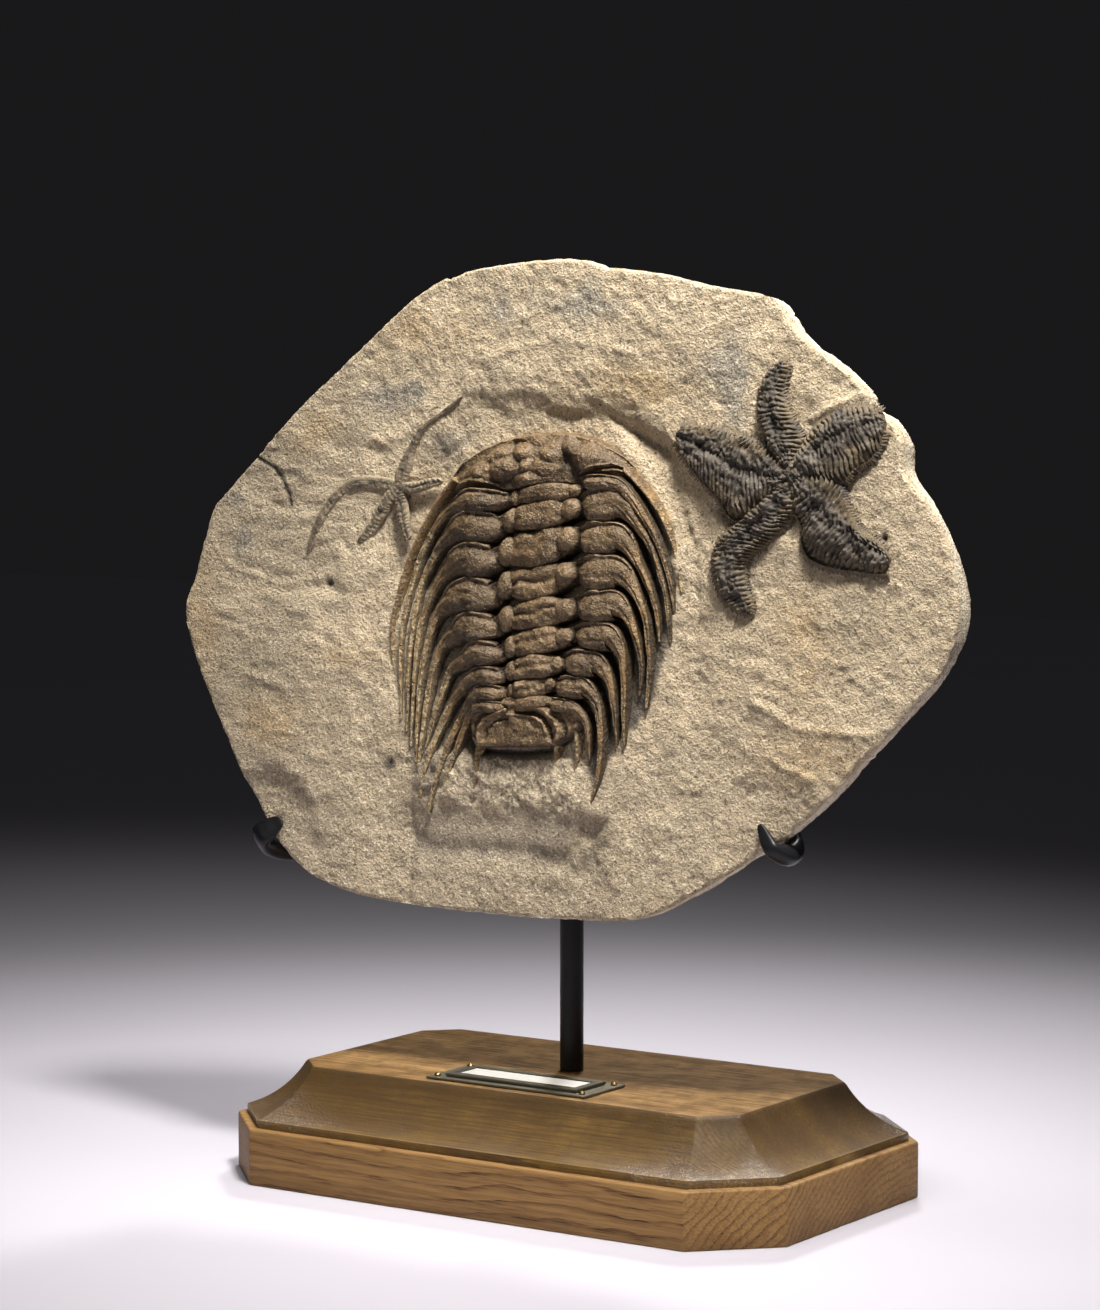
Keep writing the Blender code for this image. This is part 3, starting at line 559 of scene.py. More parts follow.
def stoneMarks(u, v):
    # how grey, ochre, banded and rough each place is, with painted shade (darker to the left, low down and in
    # the scoop) and painted shadow (dark in pits, the moat, the curl and round the spines)
    wobble = smoothNoise(u, v, 0, 14.0, 21, 3)
    grey = patches(u, v, slab["grey"])
    grey = np.clip(grey + 0.8 * wobble * (grey > 0.1), 0, 1)
    ochre = np.clip(patches(u, v, slab["ochre"]) * (0.75 + 0.9 * wobble), 0, 1)
    crust = crustShare(u, v)
    sheaf = nearPatch(u, v, slab["sheaf"], 2.5)
    # painted shadow: in pits, under the tail along the moat, along the curl and between and under the spines;
    # dark along the crack too
    dark = [hump(u, v, spot, size) for spot, size in slab["dark"]]
    dark += [nearLine(u, v, crackPath, 0.9), 0.95 * nearLine(u, v, slab["moat"], 1.7),
             0.3 * nearLine(u, v, slab["curl"], 4.5) * (0.65 + 0.5 * wobble),
             0.85 * np.maximum(nearPatch(u, v, slab["between"], 2.5), 0.55 * sheaf)]
    # painted shade: darker to the left, towards the bottom and in the scoop, with a wobble
    shade = 0.75 * ease((-60 - u) / 60) + 0.7 * ease((5 - v) / 70)
    shade = np.clip(shade + 0.35 * nearPatch(u, v, slab["scoop"], 12) + 0.5 * wobble, 0, 1)
    return {"grey": grey, "ochre": ochre, "shade": shade, "band": smoothBand(u, v) * (1 - crust),
            "dark": np.clip(np.max(dark, axis=0), 0, 1), "rough": np.maximum(crust, 0.8 * sheaf)}


def faceSheet(outline, middle, reach):
    # rings from the middle out to the bevel, each with more points than the one before
    rim = middle + (outline - middle) * (1 - slab["bevel"] / reach)
    steps, edge = slab["rings"], slab["edgePoints"]
    places, counts = [middle[None, :]], [1]
    for k in range(1, steps + 1):
        count = min(slab["around"] * k, edge)
        ring = rim if count == edge else evenly(rim, count, closed=True)
        places.append(middle + (ring - middle) * (k / steps))
        counts.append(count)
    u, v = np.concatenate(places).T
    starts = np.cumsum([0] + counts)
    faces = [(0, 1 + i, 1 + (i + 1) % counts[1]) for i in range(counts[1])]
    for k in range(1, steps):
        faces += stitch(starts[k], counts[k], starts[k + 1], counts[k + 1])
    return np.stack([u, v, faceHeight(u, v) + stoneGrain(u, v)], axis=1), faces, starts[-2]


def edgeRings(outline, inward):
    # the bevel, the sawn edge and the broken edge behind it
    u, v = outline.T
    low = faceHeight(u, v) - 0.9
    saw = slab["sawnTo"] - 1.8 * smoothNoise(u, v, 6, 13.0, 52, 2)
    rows = [(0.0, low + 0.28 * smoothNoise(u, v, 2, 3.0, 51, 2))]
    for share in (0.33, 0.66, 1.0):
        rows.append((0.15 + 0.45 * share, low * (1 - share) + saw * share))
    for share in (0.12, 0.35, 0.6, 0.85, 1.0):
        inset = slab["backInset"] * share ** 0.8 * (0.75 + 0.35 * smoothNoise(u, v, 3 * share, 9.0, 53, 2))
        w = saw + (slab["backTo"] - saw) * share + 0.7 * smoothNoise(u, v, 7 * share, 5.0, 54, 2)
        rows.append((0.6 + inset, w))
    rings = []
    for i, (inset, w) in enumerate(rows):
        ring = outline + inward * (0 * u + inset)[:, None]
        ring = ring + inward * (0.12 * smoothNoise(u, v, 2.0 * i, 1.8, 55, 1))[:, None]
        rings.append(np.column_stack([ring, w]))
    return rings


def buildSlab(look):
    outline = slabOutline()
    middle = np.array(slab["middle"])
    reach = np.linalg.norm(outline - middle, axis=1, keepdims=True)
    face, faces, rimStart = faceSheet(outline, middle, reach)
    edge = edgeRings(outline, (middle - outline) / reach)
    faces += ringFaces(len(edge) + 1, len(outline), rimStart, flip=True)
    points = [face] + edge
    # the broken back, in rings that shrink to the middle
    backEdge = edge[-1][:, :2]
    previousCount, total = len(outline), sum(map(len, points))
    previous = total - previousCount
    rings, level = slab["backRings"], slab["backLevel"]
    for k in range(rings - 1, 1, -1):
        around = round(slab["backAround"] * k / rings)
        ring = middle + (evenly(backEdge, around, closed=True) - middle) * (k / rings)
        w = level + 1.1 * smoothNoise(ring[:, 0], ring[:, 1], 1, 26.0, 61, 3)
        w = w + 0.6 * smoothNoise(ring[:, 0] / 2.2, ring[:, 1], 1, 6.5, 62, 2)
        points.append(np.column_stack([ring, np.clip(w, -15.0, -12.4)]))
        faces += stitch(previous, previousCount, total, around)
        previous, previousCount = total, around
        total += around
    points.append(np.array([[*middle, level]]))
    faces += [(previous + i, total, previous + (i + 1) % previousCount) for i in range(previousCount)]
    u, v, w = np.concatenate(points).T
    back = 1 - ease((w + 7) / 4)
    marks = {key: values * (1 - back) for key, values in stoneMarks(u, v).items()}
    marks["back"] = back
    # the sawn edge band, painted pale: its fresh colour together with painted light on an edge that faces
    # away from the lamps
    marks["sawn"] = ease((-0.6 - w) / 1.0) * (1 - ease((-6.0 - w) / 4))
    marks["sawn"][:len(face)] = 0
    meshPiece("stonePlate", plateToWorld(u, v, w), faces, look, "slab", 55, marks)


def stoneLook():
    look = Look("sandstone")
    middling = look.noise(75, 4, 0.6)
    fine = look.noise(760, 3, 0.72)
    look.start(look.range(look.noise(14, 4, 0.6), 0.35, 0.65), (0.50, 0.39, 0.25), (0.66, 0.525, 0.35))
    look.lay((0.46, 0.37, 0.25), look.range(middling, 0.42, 0.70, (0, 0.55)))
    # shade is painted shade; ochre, grey, band and back are the stone's own tones
    for name, share, tint in (("shade", 0.7, (0.37, 0.30, 0.205)), ("ochre", 0.45, (0.50, 0.32, 0.13)),
                              ("grey", 0.75, (0.26, 0.24, 0.20)), ("band", 0.52, (0.33, 0.275, 0.205)),
                              # the sawn edge: its pale fresh colour and painted light
                              ("back", 0.6, (0.42, 0.36, 0.27)), ("sawn", 0.8, (0.86, 0.74, 0.56))):
        look.lay(tint, look.mark(name), share)
    # dark and pale specks, then the loose grains of the rough places
    look.lay((0.120, 0.094, 0.060), look.range(fine, 0.53, 0.66), 0.85)
    look.lay((0.80, 0.70, 0.53), look.range(look.noise(800, 2, 0.6), 0.54, 0.66, (0, 0.6)))
    loose = look.noise(620, 3, 0.72)
    look.lay((0.16, 0.13, 0.09), look.mark("rough"), look.range(loose, 0.49, 0.41, (0, 0.45)))
    look.lay((0.82, 0.72, 0.55), look.mark("rough"), look.range(loose, 0.51, 0.60, (0, 0.5)))
    # painted shadow and shade from the dark mark
    look.lay((0.05, 0.045, 0.04), look.mark("dark"))
    look.lay((0.74, 0.63, 0.46), look.range(look.edges(), 0.53, 0.62, (0, 0.35)))
    relief = look.relief((middling, 0.0015, 0.5), (fine, 0.0012, 1.0), (look.cells(1000), 0.0005, 0.5))
    return look.finish(look.range(fine, 0.3, 0.7, (0.78, 0.95)), relief)


buildSlab(stoneLook())
print("slab built")


# the trilobite: nine body segments with their long spines, a knob at each side of the axis, head and tail

trilobite = {
    "stations": 300, "across": 34, "foot": -1.0, "relief": 0.03, "headAcross": 230, "headRows": 76,
    "tailAround": 210, "tailRings": 56, "tailMiddle": (-3.0, -14.0),
    # one row per segment: axis height and half width, left knee to tip, right knee to tip
    "segments": [(76.4, 3.8, [(-38, 72), (-46, 66), (-54, 56), (-60, 43), (-65.8, 17), (-65, -15)],
                  [(42, 80.5), (49.5, 69), (56, 57.5), (60.3, 45), (61.8, 33)]),
                 (67.9, 5.9, [(-38.5, 63), (-46, 55), (-53, 45), (-57.5, 35), (-61.5, 8), (-62, -20)],
                  [(42, 74.5), (48, 64), (54.5, 53), (59, 38), (60.5, 21)]),
                 (54.8, 7.6, [(-38.5, 50), (-46, 41), (-52.5, 31), (-56.5, 20), (-58.5, 2), (-59.5, -26)],
                  [(42, 62), (47, 51.5), (52.5, 41.5), (55.5, 31), (55.8, 21)]),
                 (41.2, 6.9, [(-39, 36), (-46, 28), (-51, 18), (-54.5, 4), (-56, -12), (-56.5, -32)],
                  [(42, 49), (47, 39.5), (51.5, 29), (53, 12), (51.5, -5)]),
                 (29.4, 6.2, [(-36, 22.5), (-43.5, 15), (-48.5, 4), (-51, -8), (-53.5, -23), (-55.5, -39)],
                  [(41, 36.5), (45, 28.5), (48.5, 19), (49.5, 10), (47.8, 0)]),
                 (18.6, 5.6, [(-31.5, 12), (-39, 5.5), (-43.5, -3.5), (-47.5, -14), (-52, -26)],
                  [(39, 23.5), (42, 14), (43, 4), (42.5, -8), (42, -20)]),
                 (8.6, 5.2, [(-29.5, 3.0), (-36, -5), (-41.5, -14), (-47.5, -26), (-52, -38), (-53.5, -47)],
                  [(33, 13), (36.5, 5), (38.5, -4), (38.8, -12), (38.5, -20)]),
                 (-0.2, 4.2, [(-28, -4.5), (-33, -13), (-38, -22), (-43, -33), (-47, -44), (-49, -52)],
                  [(28.5, 3), (31.5, -5), (33.5, -17), (32, -32), (27, -46)]),
                 (-6.0, 3.0, [(-27.5, -9), (-31, -16), (-35, -25), (-39, -34), (-42, -42)],
                  [(23.5, -5.5), (26, -11), (27.2, -18), (26.5, -28)])],
    "leftPad": [(72.9, 4.8), (62.6, 6.7), (49.3, 7.3), (35.4, 7.3), (22.9, 6.1), (12.7, 5.2), (3.8, 4.1),
                (-2.6, 3.4), (-8.0, 2.4)],
    "rightPad": [(81.0, 3.2), (72.6, 6.8), (59.6, 6.6), (46.3, 7.2), (33.2, 6.5), (21.8, 5.7), (11.2, 5.4),
                 (1.6, 4.6), (-5.5, 2.8)],
    "leftKnob": [(-9.5, 74.6), (-11.4, 65.8), (-12.7, 53.0), (-12.7, 40.0), (-11.4, 27.0), (-9.4, 16.0),
                 (-9.0, 6.6), (-8.5, -1.2), (-8, -6.8)],
    "rightKnob": [(18.0, 77.5), (16.8, 70.8), (15.6, 58.8), (15.4, 45.4), (16.0, 31.6), (15.8, 21.0),
                  (12.5, 10.2), (9.5, 2.2), (9, -4.6)],
    "knobSize": [0.62, 0.94, 1.1, 1.07, 1.0, 0.86, 0.72, 0.55, 0.4],
    "split": [0.2, 0.2, 0.3, 1.2, 1.0, 0.6, 0.8, 0.5, 0.2],
    # the two long spines that trail from the corners of the head: points and half width
    "cheekSpines": [([(-40, 81), (-48, 72.5), (-57.5, 58), (-65, 43), (-71, 22), (-70, 5)], 2.2),
                    ([(40, 86.5), (51.6, 75), (58.5, 64), (62.5, 52), (64.4, 40)], 2.0)],
    "headFront": [(-49.5, 74.5), (-45.6, 80.5), (-40, 87.6), (-29.8, 94), (-19, 98.1), (-8.2, 99.9),
                  (2.5, 100.8), (14, 100.4), (24.1, 98.3), (32.9, 94.6), (39.7, 90.2), (44.6, 85)],
    "headRear": [(-46, 73), (-41, 75.6), (-36, 77.6), (-31, 78.2), (-24, 77.3), (-16, 77), (-8, 77.6),
                 (-2, 78.6), (6.4, 79.8), (13, 80.2), (18.3, 80), (26, 81.8), (34, 82.6), (40, 82.2),
                 (43.5, 81.6)],
    "headDome": [2.8, 6.6, 9.4, 9.2, 10.6, 9.6, 10.0, 6.8, 2.8],
    "headLobes": [((-15.5, 86.3), (9.4, 5.6), 6, 3.8), ((-7.8, 92.6), (6.4, 4.6), -20, 3.2),
                  ((-4.6, 87), (4.4, 4.0), 0, 3.0), ((7, 95.2), (5.4, 4.2), 0, 2.7),
                  ((6, 91), (6.0, 5.6), 0, 3.3), ((4, 86.2), (7.4, 5.8), 12, 3.7),
                  ((-1, 81.6), (11, 4.4), 6, 3.4), ((14.6, 95.4), (6.0, 4.4), -15, 2.7),
                  ((26.2, 91), (12.4, 6.8), -10, 4.4), ((-27, 83.7), (9, 5.4), 20, 2.9),
                  ((-20, 91), (8, 4.4), 18, 2.4), ((36, 87.2), (8, 5), -25, 2.2),
                  ((-35, 81), (8, 5), 35, 2.0), ((20, 97), (9, 3), -18, 1.6),
                  ((-4, 97.6), (12, 2.6), -4, 1.5)],
    "headRidges": [([(19.5, 84.4), (26.6, 87.2), (34.5, 88.6), (40.5, 87), (44, 84.5)], 0.55, 1.0),
                   ([(20, 82.6), (27.4, 85.2), (35.9, 86.2), (40.6, 85.4), (43.5, 83.6)], 0.5, 0.8),
                   ([(19.6, 83.6), (27.4, 86.2), (35.5, 87.4), (40.8, 86.1)], 0.4, -0.6),
                   ([(-37, 79.1), (-32.4, 80.7), (-26, 80.4), (-18, 79.2)], 0.75, 1.0),
                   ([(-38, 80.8), (-31, 82.3), (-25, 81.9)], 0.7, -0.6),
                   ([(-20, 89.4), (-16, 90.2), (-12, 90)], 1.0, -0.8),
                   ([(12.4, 90.5), (15, 87.4), (18.6, 83.2)], 2.6, -1.6)],
    "tail": [(-28.4, -9), (-29.4, -13), (-28.3, -18.2), (-24.2, -23.6), (-20, -24.1), (-3.8, -23.2),
             (12.3, -22), (14.9, -20.6), (23.9, -14.7), (25.6, -10), (23.5, -5.5), (15.5, -4), (2, -3),
             (-10, -3), (-22.4, -5)],
    # the ribs and furrows on the tail plate: points, half width, height
    "tailRibs": [([(-10.1, -8.9), (-15.4, -10.6), (-20.1, -13.1), (-22.5, -17.2), (-23, -23)], 1.0, 1.5),
                 ([(-8.5, -11.9), (-14.6, -13.1), (-18.9, -16.4), (-20.3, -21)], 0.7, -1.3),
                 ([(-9, -7.4), (-16, -8.6), (-21, -10.2), (-25, -14), (-25.5, -20)], 0.6, -1.1),
                 ([(-10, -6), (-18, -7.2), (-25, -8.2), (-28, -11)], 0.7, 0.8),
                 ([(-9.5, -7), (-7.5, -6.3), (2, -6.5), (8.1, -8.3), (13, -11.4), (15.2, -15.1),
                   (13.8, -20.5)],
                  1.1, 1.6),
                 ([(-4, -8.6), (2.2, -9), (7.6, -11.1), (10.8, -14.3), (11.3, -18.5)], 0.85, -1.7),
                 ([(9, -6.4), (14.4, -8.6), (17.8, -12.6), (17.4, -18)], 0.65, -1.1),
                 ([(4, -4.6), (12, -5.2), (19, -6.4), (24, -9.5)], 0.7, 0.9),
                 ([(-8.5, -10.7), (-2, -10.4), (4, -11), (8, -13.6), (9.2, -17)], 0.6, 0.8),
                 ([(-6.8, -5), (-7, -12)], 2.4, 1.2),
                 ([(-21, -22.6), (-12, -22.0), (-2.5, -21.6), (10.5, -20.6)], 1.6, 0.5)],
    "tailSpines": [([(-23, -20), (-25.6, -27), (-25.9, -34.6), (-28.3, -43.4)], 1.7, 5.6),
                   ([(13.2, -19), (11.6, -25.6), (11.3, -30), (10.3, -34.6)], 1.5, 5.6),
                   ([(21.5, -15), (21.2, -22.9), (19.6, -32.9)], 1.5, 5.0)],
}


# a segment's section from its front edge, 1, to its rear edge, -1: place and height

shellSections = {
    # the front lies under the ring before it, the rear edge drops
    "ring": [(1, -2.9), (0.92, -1.7), (0.72, -0.75), (0.45, -0.15), (0.15, 0.05), (-0.3, -0.05),
             (-0.6, -0.5), (-0.82, -1.2), (-0.93, -1.9), (-1, -3.2)],
    "spine": [(1, -4.6), (0.85, -2.3), (0.6, -0.7), (0.38, -0.05), (0.2, 0), (-0.3, -0.15), (-0.6, -0.9),
              (-0.85, -2.4), (-1, -4.6)],
    # a thin front band, a furrow, a broad swelling and a rear edge that drops
    "pad": [(1, -4.0), (0.96, -1.7), (0.91, -0.95), (0.85, -0.95), (0.75, -1.3), (0.62, -1.3),
            (0.45, -0.75), (0.28, -0.22), (0.1, 0), (-0.25, -0.1), (-0.55, -0.5), (-0.76, -1.3),
            (-0.9, -2.6), (-1, -4.8)],
}


def section(name, s):
    return np.interp(s, *np.array(shellSections[name])[::-1].T)


def spineProfile(s):
    return section("spine", s) - 1.0 * np.exp(-((s + 0.02) / 0.14) ** 2)


def padProfile(s, q):
    # the furrow narrows to the knee and the swelling slants; q runs from the axis to the knee
    crest, furrow = -0.3 + 0.45 * q, 0.5 + 0.24 * q
    place = -1 + 0 * s
    for a, b, rise in ((-1, crest, 1.1), (crest, furrow, 0.52), (furrow, 0.9, 0.28), (0.9, 1, 0.1)):
        place = place + rise * np.clip((s - a) / (b - a), 0, 1)
    shape = section("pad", place) - 0.85 * np.exp(-((place - 0.63) / 0.12) ** 2) * (1 - 0.8 * q)
    return shape - 1.5 * ease((-0.1 - s) / 0.6) * ease((0.4 - q) / 0.4)


def spineRows(points, widest, padHalf, sign, relief):
    # the left spines drop fast and lie in a low sheaf, the right ones come down slowly
    rows = []
    shares = np.linspace(0, 1, len(points))
    if sign < 0:
        rises = np.interp(shares, [0, 0.2, 0.4, 0.7, 1], [10.6 * relief, 6.6 * relief, 4.6, 3.4, 1.2])
    else:
        rises = np.interp(shares, [0, 0.25, 0.6, 1], [10.8 * relief, 8.6 * relief, 5.4, 1.4])
    for i, ((u, v), t, rise) in enumerate(zip(points, shares, rises)):
        half = widest * (1 - 0.72 * t ** 2)
        if i == 0:
            half, u, v = 0.84 * padHalf, u - 1.6 * sign, v - 0.34 * padHalf
        elif i == 1:
            half = 0.75 * half + 0.17 * padHalf
        rows.append((u, v, rise, half, max(0.0, 1 - 2.6 * t), 0.0, 1.0, min(1.0, 0.1 + 1.15 * t)))
    return rows


def sideRows(number, sign, pad, knob, padU, relief):
    # from the ring past the knob and over the pad to the knee
    axisU, axisV, axisHalf = axisAt(number)
    padV, padHalf = pad
    furrowU = knob[0] + sign * 4.3 * trilobite["knobSize"][number]
    span = padU - furrowU
    return [
        (axisU + 0.5 * (knob[0] - axisU), 0.45 * axisV + 0.55 * knob[1], 11.3 * relief,
         axisHalf * (0.9 if sign < 0 else 0.98), 0, 1, 0, 0),
        (knob[0] - 0.6 * sign, knob[1], 8.6 * relief, 0.72 * axisHalf, 0.1, 0.9, 0, 0),
        (furrowU, 0.6 * padV + 0.4 * knob[1] + 0.4, 7.4 * relief, 0.31 * (padHalf + axisHalf),
         0.6, 0.4, 0, 0),
        (furrowU + 0.2 * span, padV + 0.5, 8.8 * relief, padHalf * 0.7, 1, 0, 0.1, 0),
        (furrowU + 0.5 * span, padV + 0.2, 11.4 * relief, padHalf * 0.93, 1, 0, 0.3, 0),
        (padU, padV, 12.6 * relief, padHalf * 1.06, 1, 0, 0.6, 0),
        (padU + 4 * sign, padV - 0.1, 12.0 * relief, padHalf * 1.04, 1, 0, 0.82, 0),
    ]


def axisAt(number):
    v, half = trilobite["segments"][number][:2]
    return 2.0 - 0.03 * (60 - v), v, half


def reliefOf(number):
    return 1 - trilobite["relief"] * number


def segmentStations(number):
    # left tip to right tip: u, v, height, half width, pad, ring, q, dust
    left, right = trilobite["segments"][number][2:]
    leftPad, rightPad = trilobite["leftPad"][number], trilobite["rightPad"][number]
    leftKnob, rightKnob = trilobite["leftKnob"][number], trilobite["rightKnob"][number]
    relief = reliefOf(number)
    axisU, axisV, axisHalf = axisAt(number)
    rows = spineRows(left, 1.6, leftPad[1], -1, relief)[::-1]
    rows += sideRows(number, -1, leftPad, leftKnob, max(-27.0, left[0][0] + 10), relief)[::-1]
    rows.append((axisU, axisV, 11.5 * relief, axisHalf * 0.97, 0, 1, 0, 0))
    rows += sideRows(number, 1, rightPad, rightKnob, min(29.0, right[0][0] - 10), relief)
    return np.array(rows + spineRows(right, 1.65, rightPad[1], 1, relief), float)


def shellWrinkles(u, v, w, seed):
    wide = 0.42 * smoothNoise(u / 1.6, v, w, 4.2, seed, 2)
    fine = 0.24 * smoothNoise(u / 1.4, v, w, 1.5, seed + 1, 2)
    return wide + fine


def addSegment(shape, number):
    rows = evenly(toPath(segmentStations(number), 14), trilobite["stations"])
    s = np.cos(np.linspace(0.0, math.pi, trilobite["across"] - 2))
    s = 0.5 * s + 0.5 * np.linspace(1, -1, len(s))
    u, v = ribbon(rows, rows[:, 3:4], s)
    height, half, pad, ring, q, dust = (rows[:, k:k + 1] + 0 * s for k in range(2, 8))
    pad, ring = np.clip(pad, 0, 1), np.clip(ring, 0, 1)
    spine = np.clip(1 - pad - ring, 0, 1)
    s = s + 0 * u
    # the height: the section, its wear, fine streaks along it and the split ring
    scale = np.clip(height / 9.5, 0.22, 1) * np.clip(half / 3.6, 0.35, 1)
    shaped = pad * padProfile(s, np.clip(q, 0, 1)) + ring * section("ring", s) + spine * spineProfile(s)
    wear = shellWrinkles(u, v, 3.0 * number, 71) * np.clip(height / 8, 0.35, 1) * (0.45 + 0.55 * (1 - spine))
    wear = wear + 0.7 * smoothNoise(u, v, 5.0 * number, 6.5, 77, 1) * ring
    run = runAlong(rows)[:, None] + 0 * s
    streaks = smoothNoise(run / 7, s * half, 9.0 * number, 0.95, 75, 2) * (1 - ring)
    cleft = np.exp(-((s - 0.1 - 0.2 * smoothNoise(u, v, 0, 6.0, 76, 1)) / 0.24) ** 2) * ring
    w = height + shaped * scale + wear + (0.2 + 0.2 * spine) * streaks
    w = w - 1.1 * (trilobite["split"][number] * cleft)
    grid = footed(u, v, w, trilobite["foot"])
    dust = widened(dust)
    dust[:, [0, -1]] = 1
    crust = np.clip(dust * (0.75 + 0.85 * ease((-32 - grid[:, :, 0]) / 8)), 0, 1.25)
    # painted shade, by how deep a place lies: spine grooves, furrows, rear edges and the feet, the left pads
    # most on their rear half, and a little over the pads right of the axis
    paintedShade = 0.5 * np.exp(-(s / 0.16) ** 2) + ease((np.abs(s) - 0.75) / 0.25) - 0.8 * streaks
    paintedShade = np.clip(paintedShade, 0, 1) * spine
    furrow = np.clip(6.0 * pad * ring, 0, 1) * (1 - 0.3 * ease((height - 7) / 2))
    paintedLeftShade = 0.5 * ease((-14 - u) / 6) * ease((u + 50) / 10) * (0.5 + 0.5 * ease((-0.1 - s) / 0.5)) * pad
    paintedShade = np.where(furrow > 0.02, np.clip(np.maximum(paintedShade, 0.25 + 0.55 * furrow), 0, 1), paintedShade)
    paintedShade = np.maximum(paintedShade, 0.25 + paintedLeftShade + 0.2 * pad * ease((u - 6) / 4))
    paintedShade = np.maximum(paintedShade, 0.9 * ease((np.abs(s) - 0.86) / 0.12))
    paintedShade = widened(paintedShade * (1 - 0.35 * ease((-34 - u) / 8) * spine))
    paintedShade[:, [0, -1]] = 1
    shape.loft(grid, np.stack([crust, paintedShade, widened(spine)], axis=2))


def addDome(shape, spot, size, base, height, turn, seed, paintedTopShade):
    # an uneven knob standing on the shell
    rings, angle = 12, circle(24)
    c, s = math.cos(math.radians(turn)), math.sin(math.radians(turn))
    points = []
    for k in range(rings):
        lift = math.pi / 2 * k / (rings - 0.4)
        a, b = size[0] * math.cos(lift) * np.cos(angle), size[1] * math.cos(lift) * np.sin(angle)
        u, v = spot[0] + a * c - b * s, spot[1] + a * s + b * c
        w = base + height * math.sin(lift) + 0 * u
        push = 0.4 * smoothNoise(u, v, w, 3.4, seed, 2)
        points.append(np.stack([u + push * np.cos(angle), v + push * np.sin(angle), w + 0.6 * push], axis=1))
    foot = points[0].copy()
    foot[:, 2] = base - 4
    grid = np.stack([foot] + points)
    marks = np.zeros(grid.shape)
    # painted shade: darkest at the foot of the knob, and over its top as much as the last argument gives,
    # which darkens the left knobs
    marks[:, :, 1] = np.interp(np.arange(len(grid)), [0, 2, 5], [1.0, 0.85, max(0.25, paintedTopShade)])[:, None]
    shape.loft(grid, marks)


def addHead(shape):
    across = trilobite["headAcross"]
    front = evenly(toPath(trilobite["headFront"], 10), across)
    rear = evenly(toPath(trilobite["headRear"], 10), across)
    dome = np.interp(np.linspace(0, 8, across), range(9), trilobite["headDome"])
    t = np.linspace(1, 0, trilobite["headRows"])
    u, v = (rear[:, k:k + 1] + (front[:, k:k + 1] - rear[:, k:k + 1]) * t for k in (0, 1))
    share = np.interp(t, [0, 0.05, 0.12, 0.3, 0.62, 0.88, 0.95, 1.0],
                      [0.72, 0.9, 0.97, 1.0, 0.88, 0.54, 0.34, 0.12])
    rim = 0.9 * np.exp(-((t - 0.94) / 0.035) ** 2) + 0.6 * np.exp(-((t - 0.03) / 0.03) ** 2)
    w = dome[:, None] * share + rim
    lobes = 0 * u
    for spot, size, turn, rise in trilobite["headLobes"]:
        lobes = np.maximum(lobes, rise * mound(u, v, spot, size, turn))
    within = ease((0.97 - t) / 0.14)
    w = w + lobes - 1.3 * within
    # painted shade in the creases between the lobes and along the sunken ridges
    shade = 2.0 * (1 - ease(lobes / 1.8)) * within
    for path, half, rise in trilobite["headRidges"]:
        along = nearLine(u, v, path, half)
        w = w + rise * along
        shade = shade + max(0.0, -rise) * along
    w = w + 0.7 * smoothNoise(u, v, 0, 7.5, 81, 2) + 0.3 * smoothNoise(u / 1.4, v, 0, 1.8, 82, 2)
    grid = footed(u, v, np.maximum(w, 0.6), trilobite["foot"])
    crust = 0.55 * (1 - ease((grid[:, :, 2] - 1.5) / 4)) + 0.3 * ease((np.abs(grid[:, :, 0]) - 30) / 15)
    shade = np.clip(0.2 + 0.2 * widened(shade), 0, 0.75)
    shape.loft(grid, np.stack([crust, shade, 0 * crust], axis=2))


def addTail(shape):
    outline = evenly(toPath(trilobite["tail"], 10, closed=True), trilobite["tailAround"], closed=True)
    middle = np.array(trilobite["tailMiddle"])
    shares = np.concatenate([[1.0, 1.0], np.linspace(0.995, 0.02, trilobite["tailRings"])])[:, None]
    u, v = (middle[k] + (outline[:, k] - middle[k]) * shares for k in (0, 1))
    w = 5.6 + 1.6 * (1 - shares ** 2) + 0 * u
    bent = u + 0.3 * smoothNoise(u, v, 0, 3.0, 93, 1)
    for path, half, rise in trilobite["tailRibs"]:
        w = w + rise * nearLine(bent, v, path, half)
    w = w + 0.4 * smoothNoise(u, v, 0, 4.0, 91, 2) + 0.22 * smoothNoise(u, v, 0, 1.5, 92, 2)
    w = w - 1.9 * ease((shares - 0.88) / 0.12) ** 1.5
    w[0] = trilobite["foot"]
    grid = np.stack([u, v, w], axis=2)
    marks = np.zeros(grid.shape)
    # painted shadow down the edge wall of the tail
    marks[:, :, 1] = np.interp(shares, [0.9, 0.95, 0.99], [0.1, 0.55, 1.0])
    shape.loft(grid, marks)
    for path, half, rise in trilobite["tailSpines"]:
        addRidge(shape, path, half, rise, 40, 10, 0.9)


def addRidge(shape, path, half, rise, stations, across, dusty=0.3):
    # one tapering spine that stands alone
    line = evenly(toPath(path, 8), stations)
    t = np.linspace(0, 1, stations)[:, None]
    s = np.linspace(1, -1, across)
    u, v = ribbon(line, half * (1 - 0.7 * t ** 2), s)
    w = (0.9 + (rise - 0.9) * (1 - t)) * (1 - 0.75 * np.abs(s) ** 2.2)
    w = w + 0.3 * smoothNoise(u, v, 0, 2.0, 95, 2)
    grid = footed(u, v, w, trilobite["foot"])
    crust = dusty + (1 - dusty) * t + 0 * grid[:, :, 0]
    shape.loft(grid, np.stack([crust, 0 * crust, 1 + 0 * crust], axis=2))


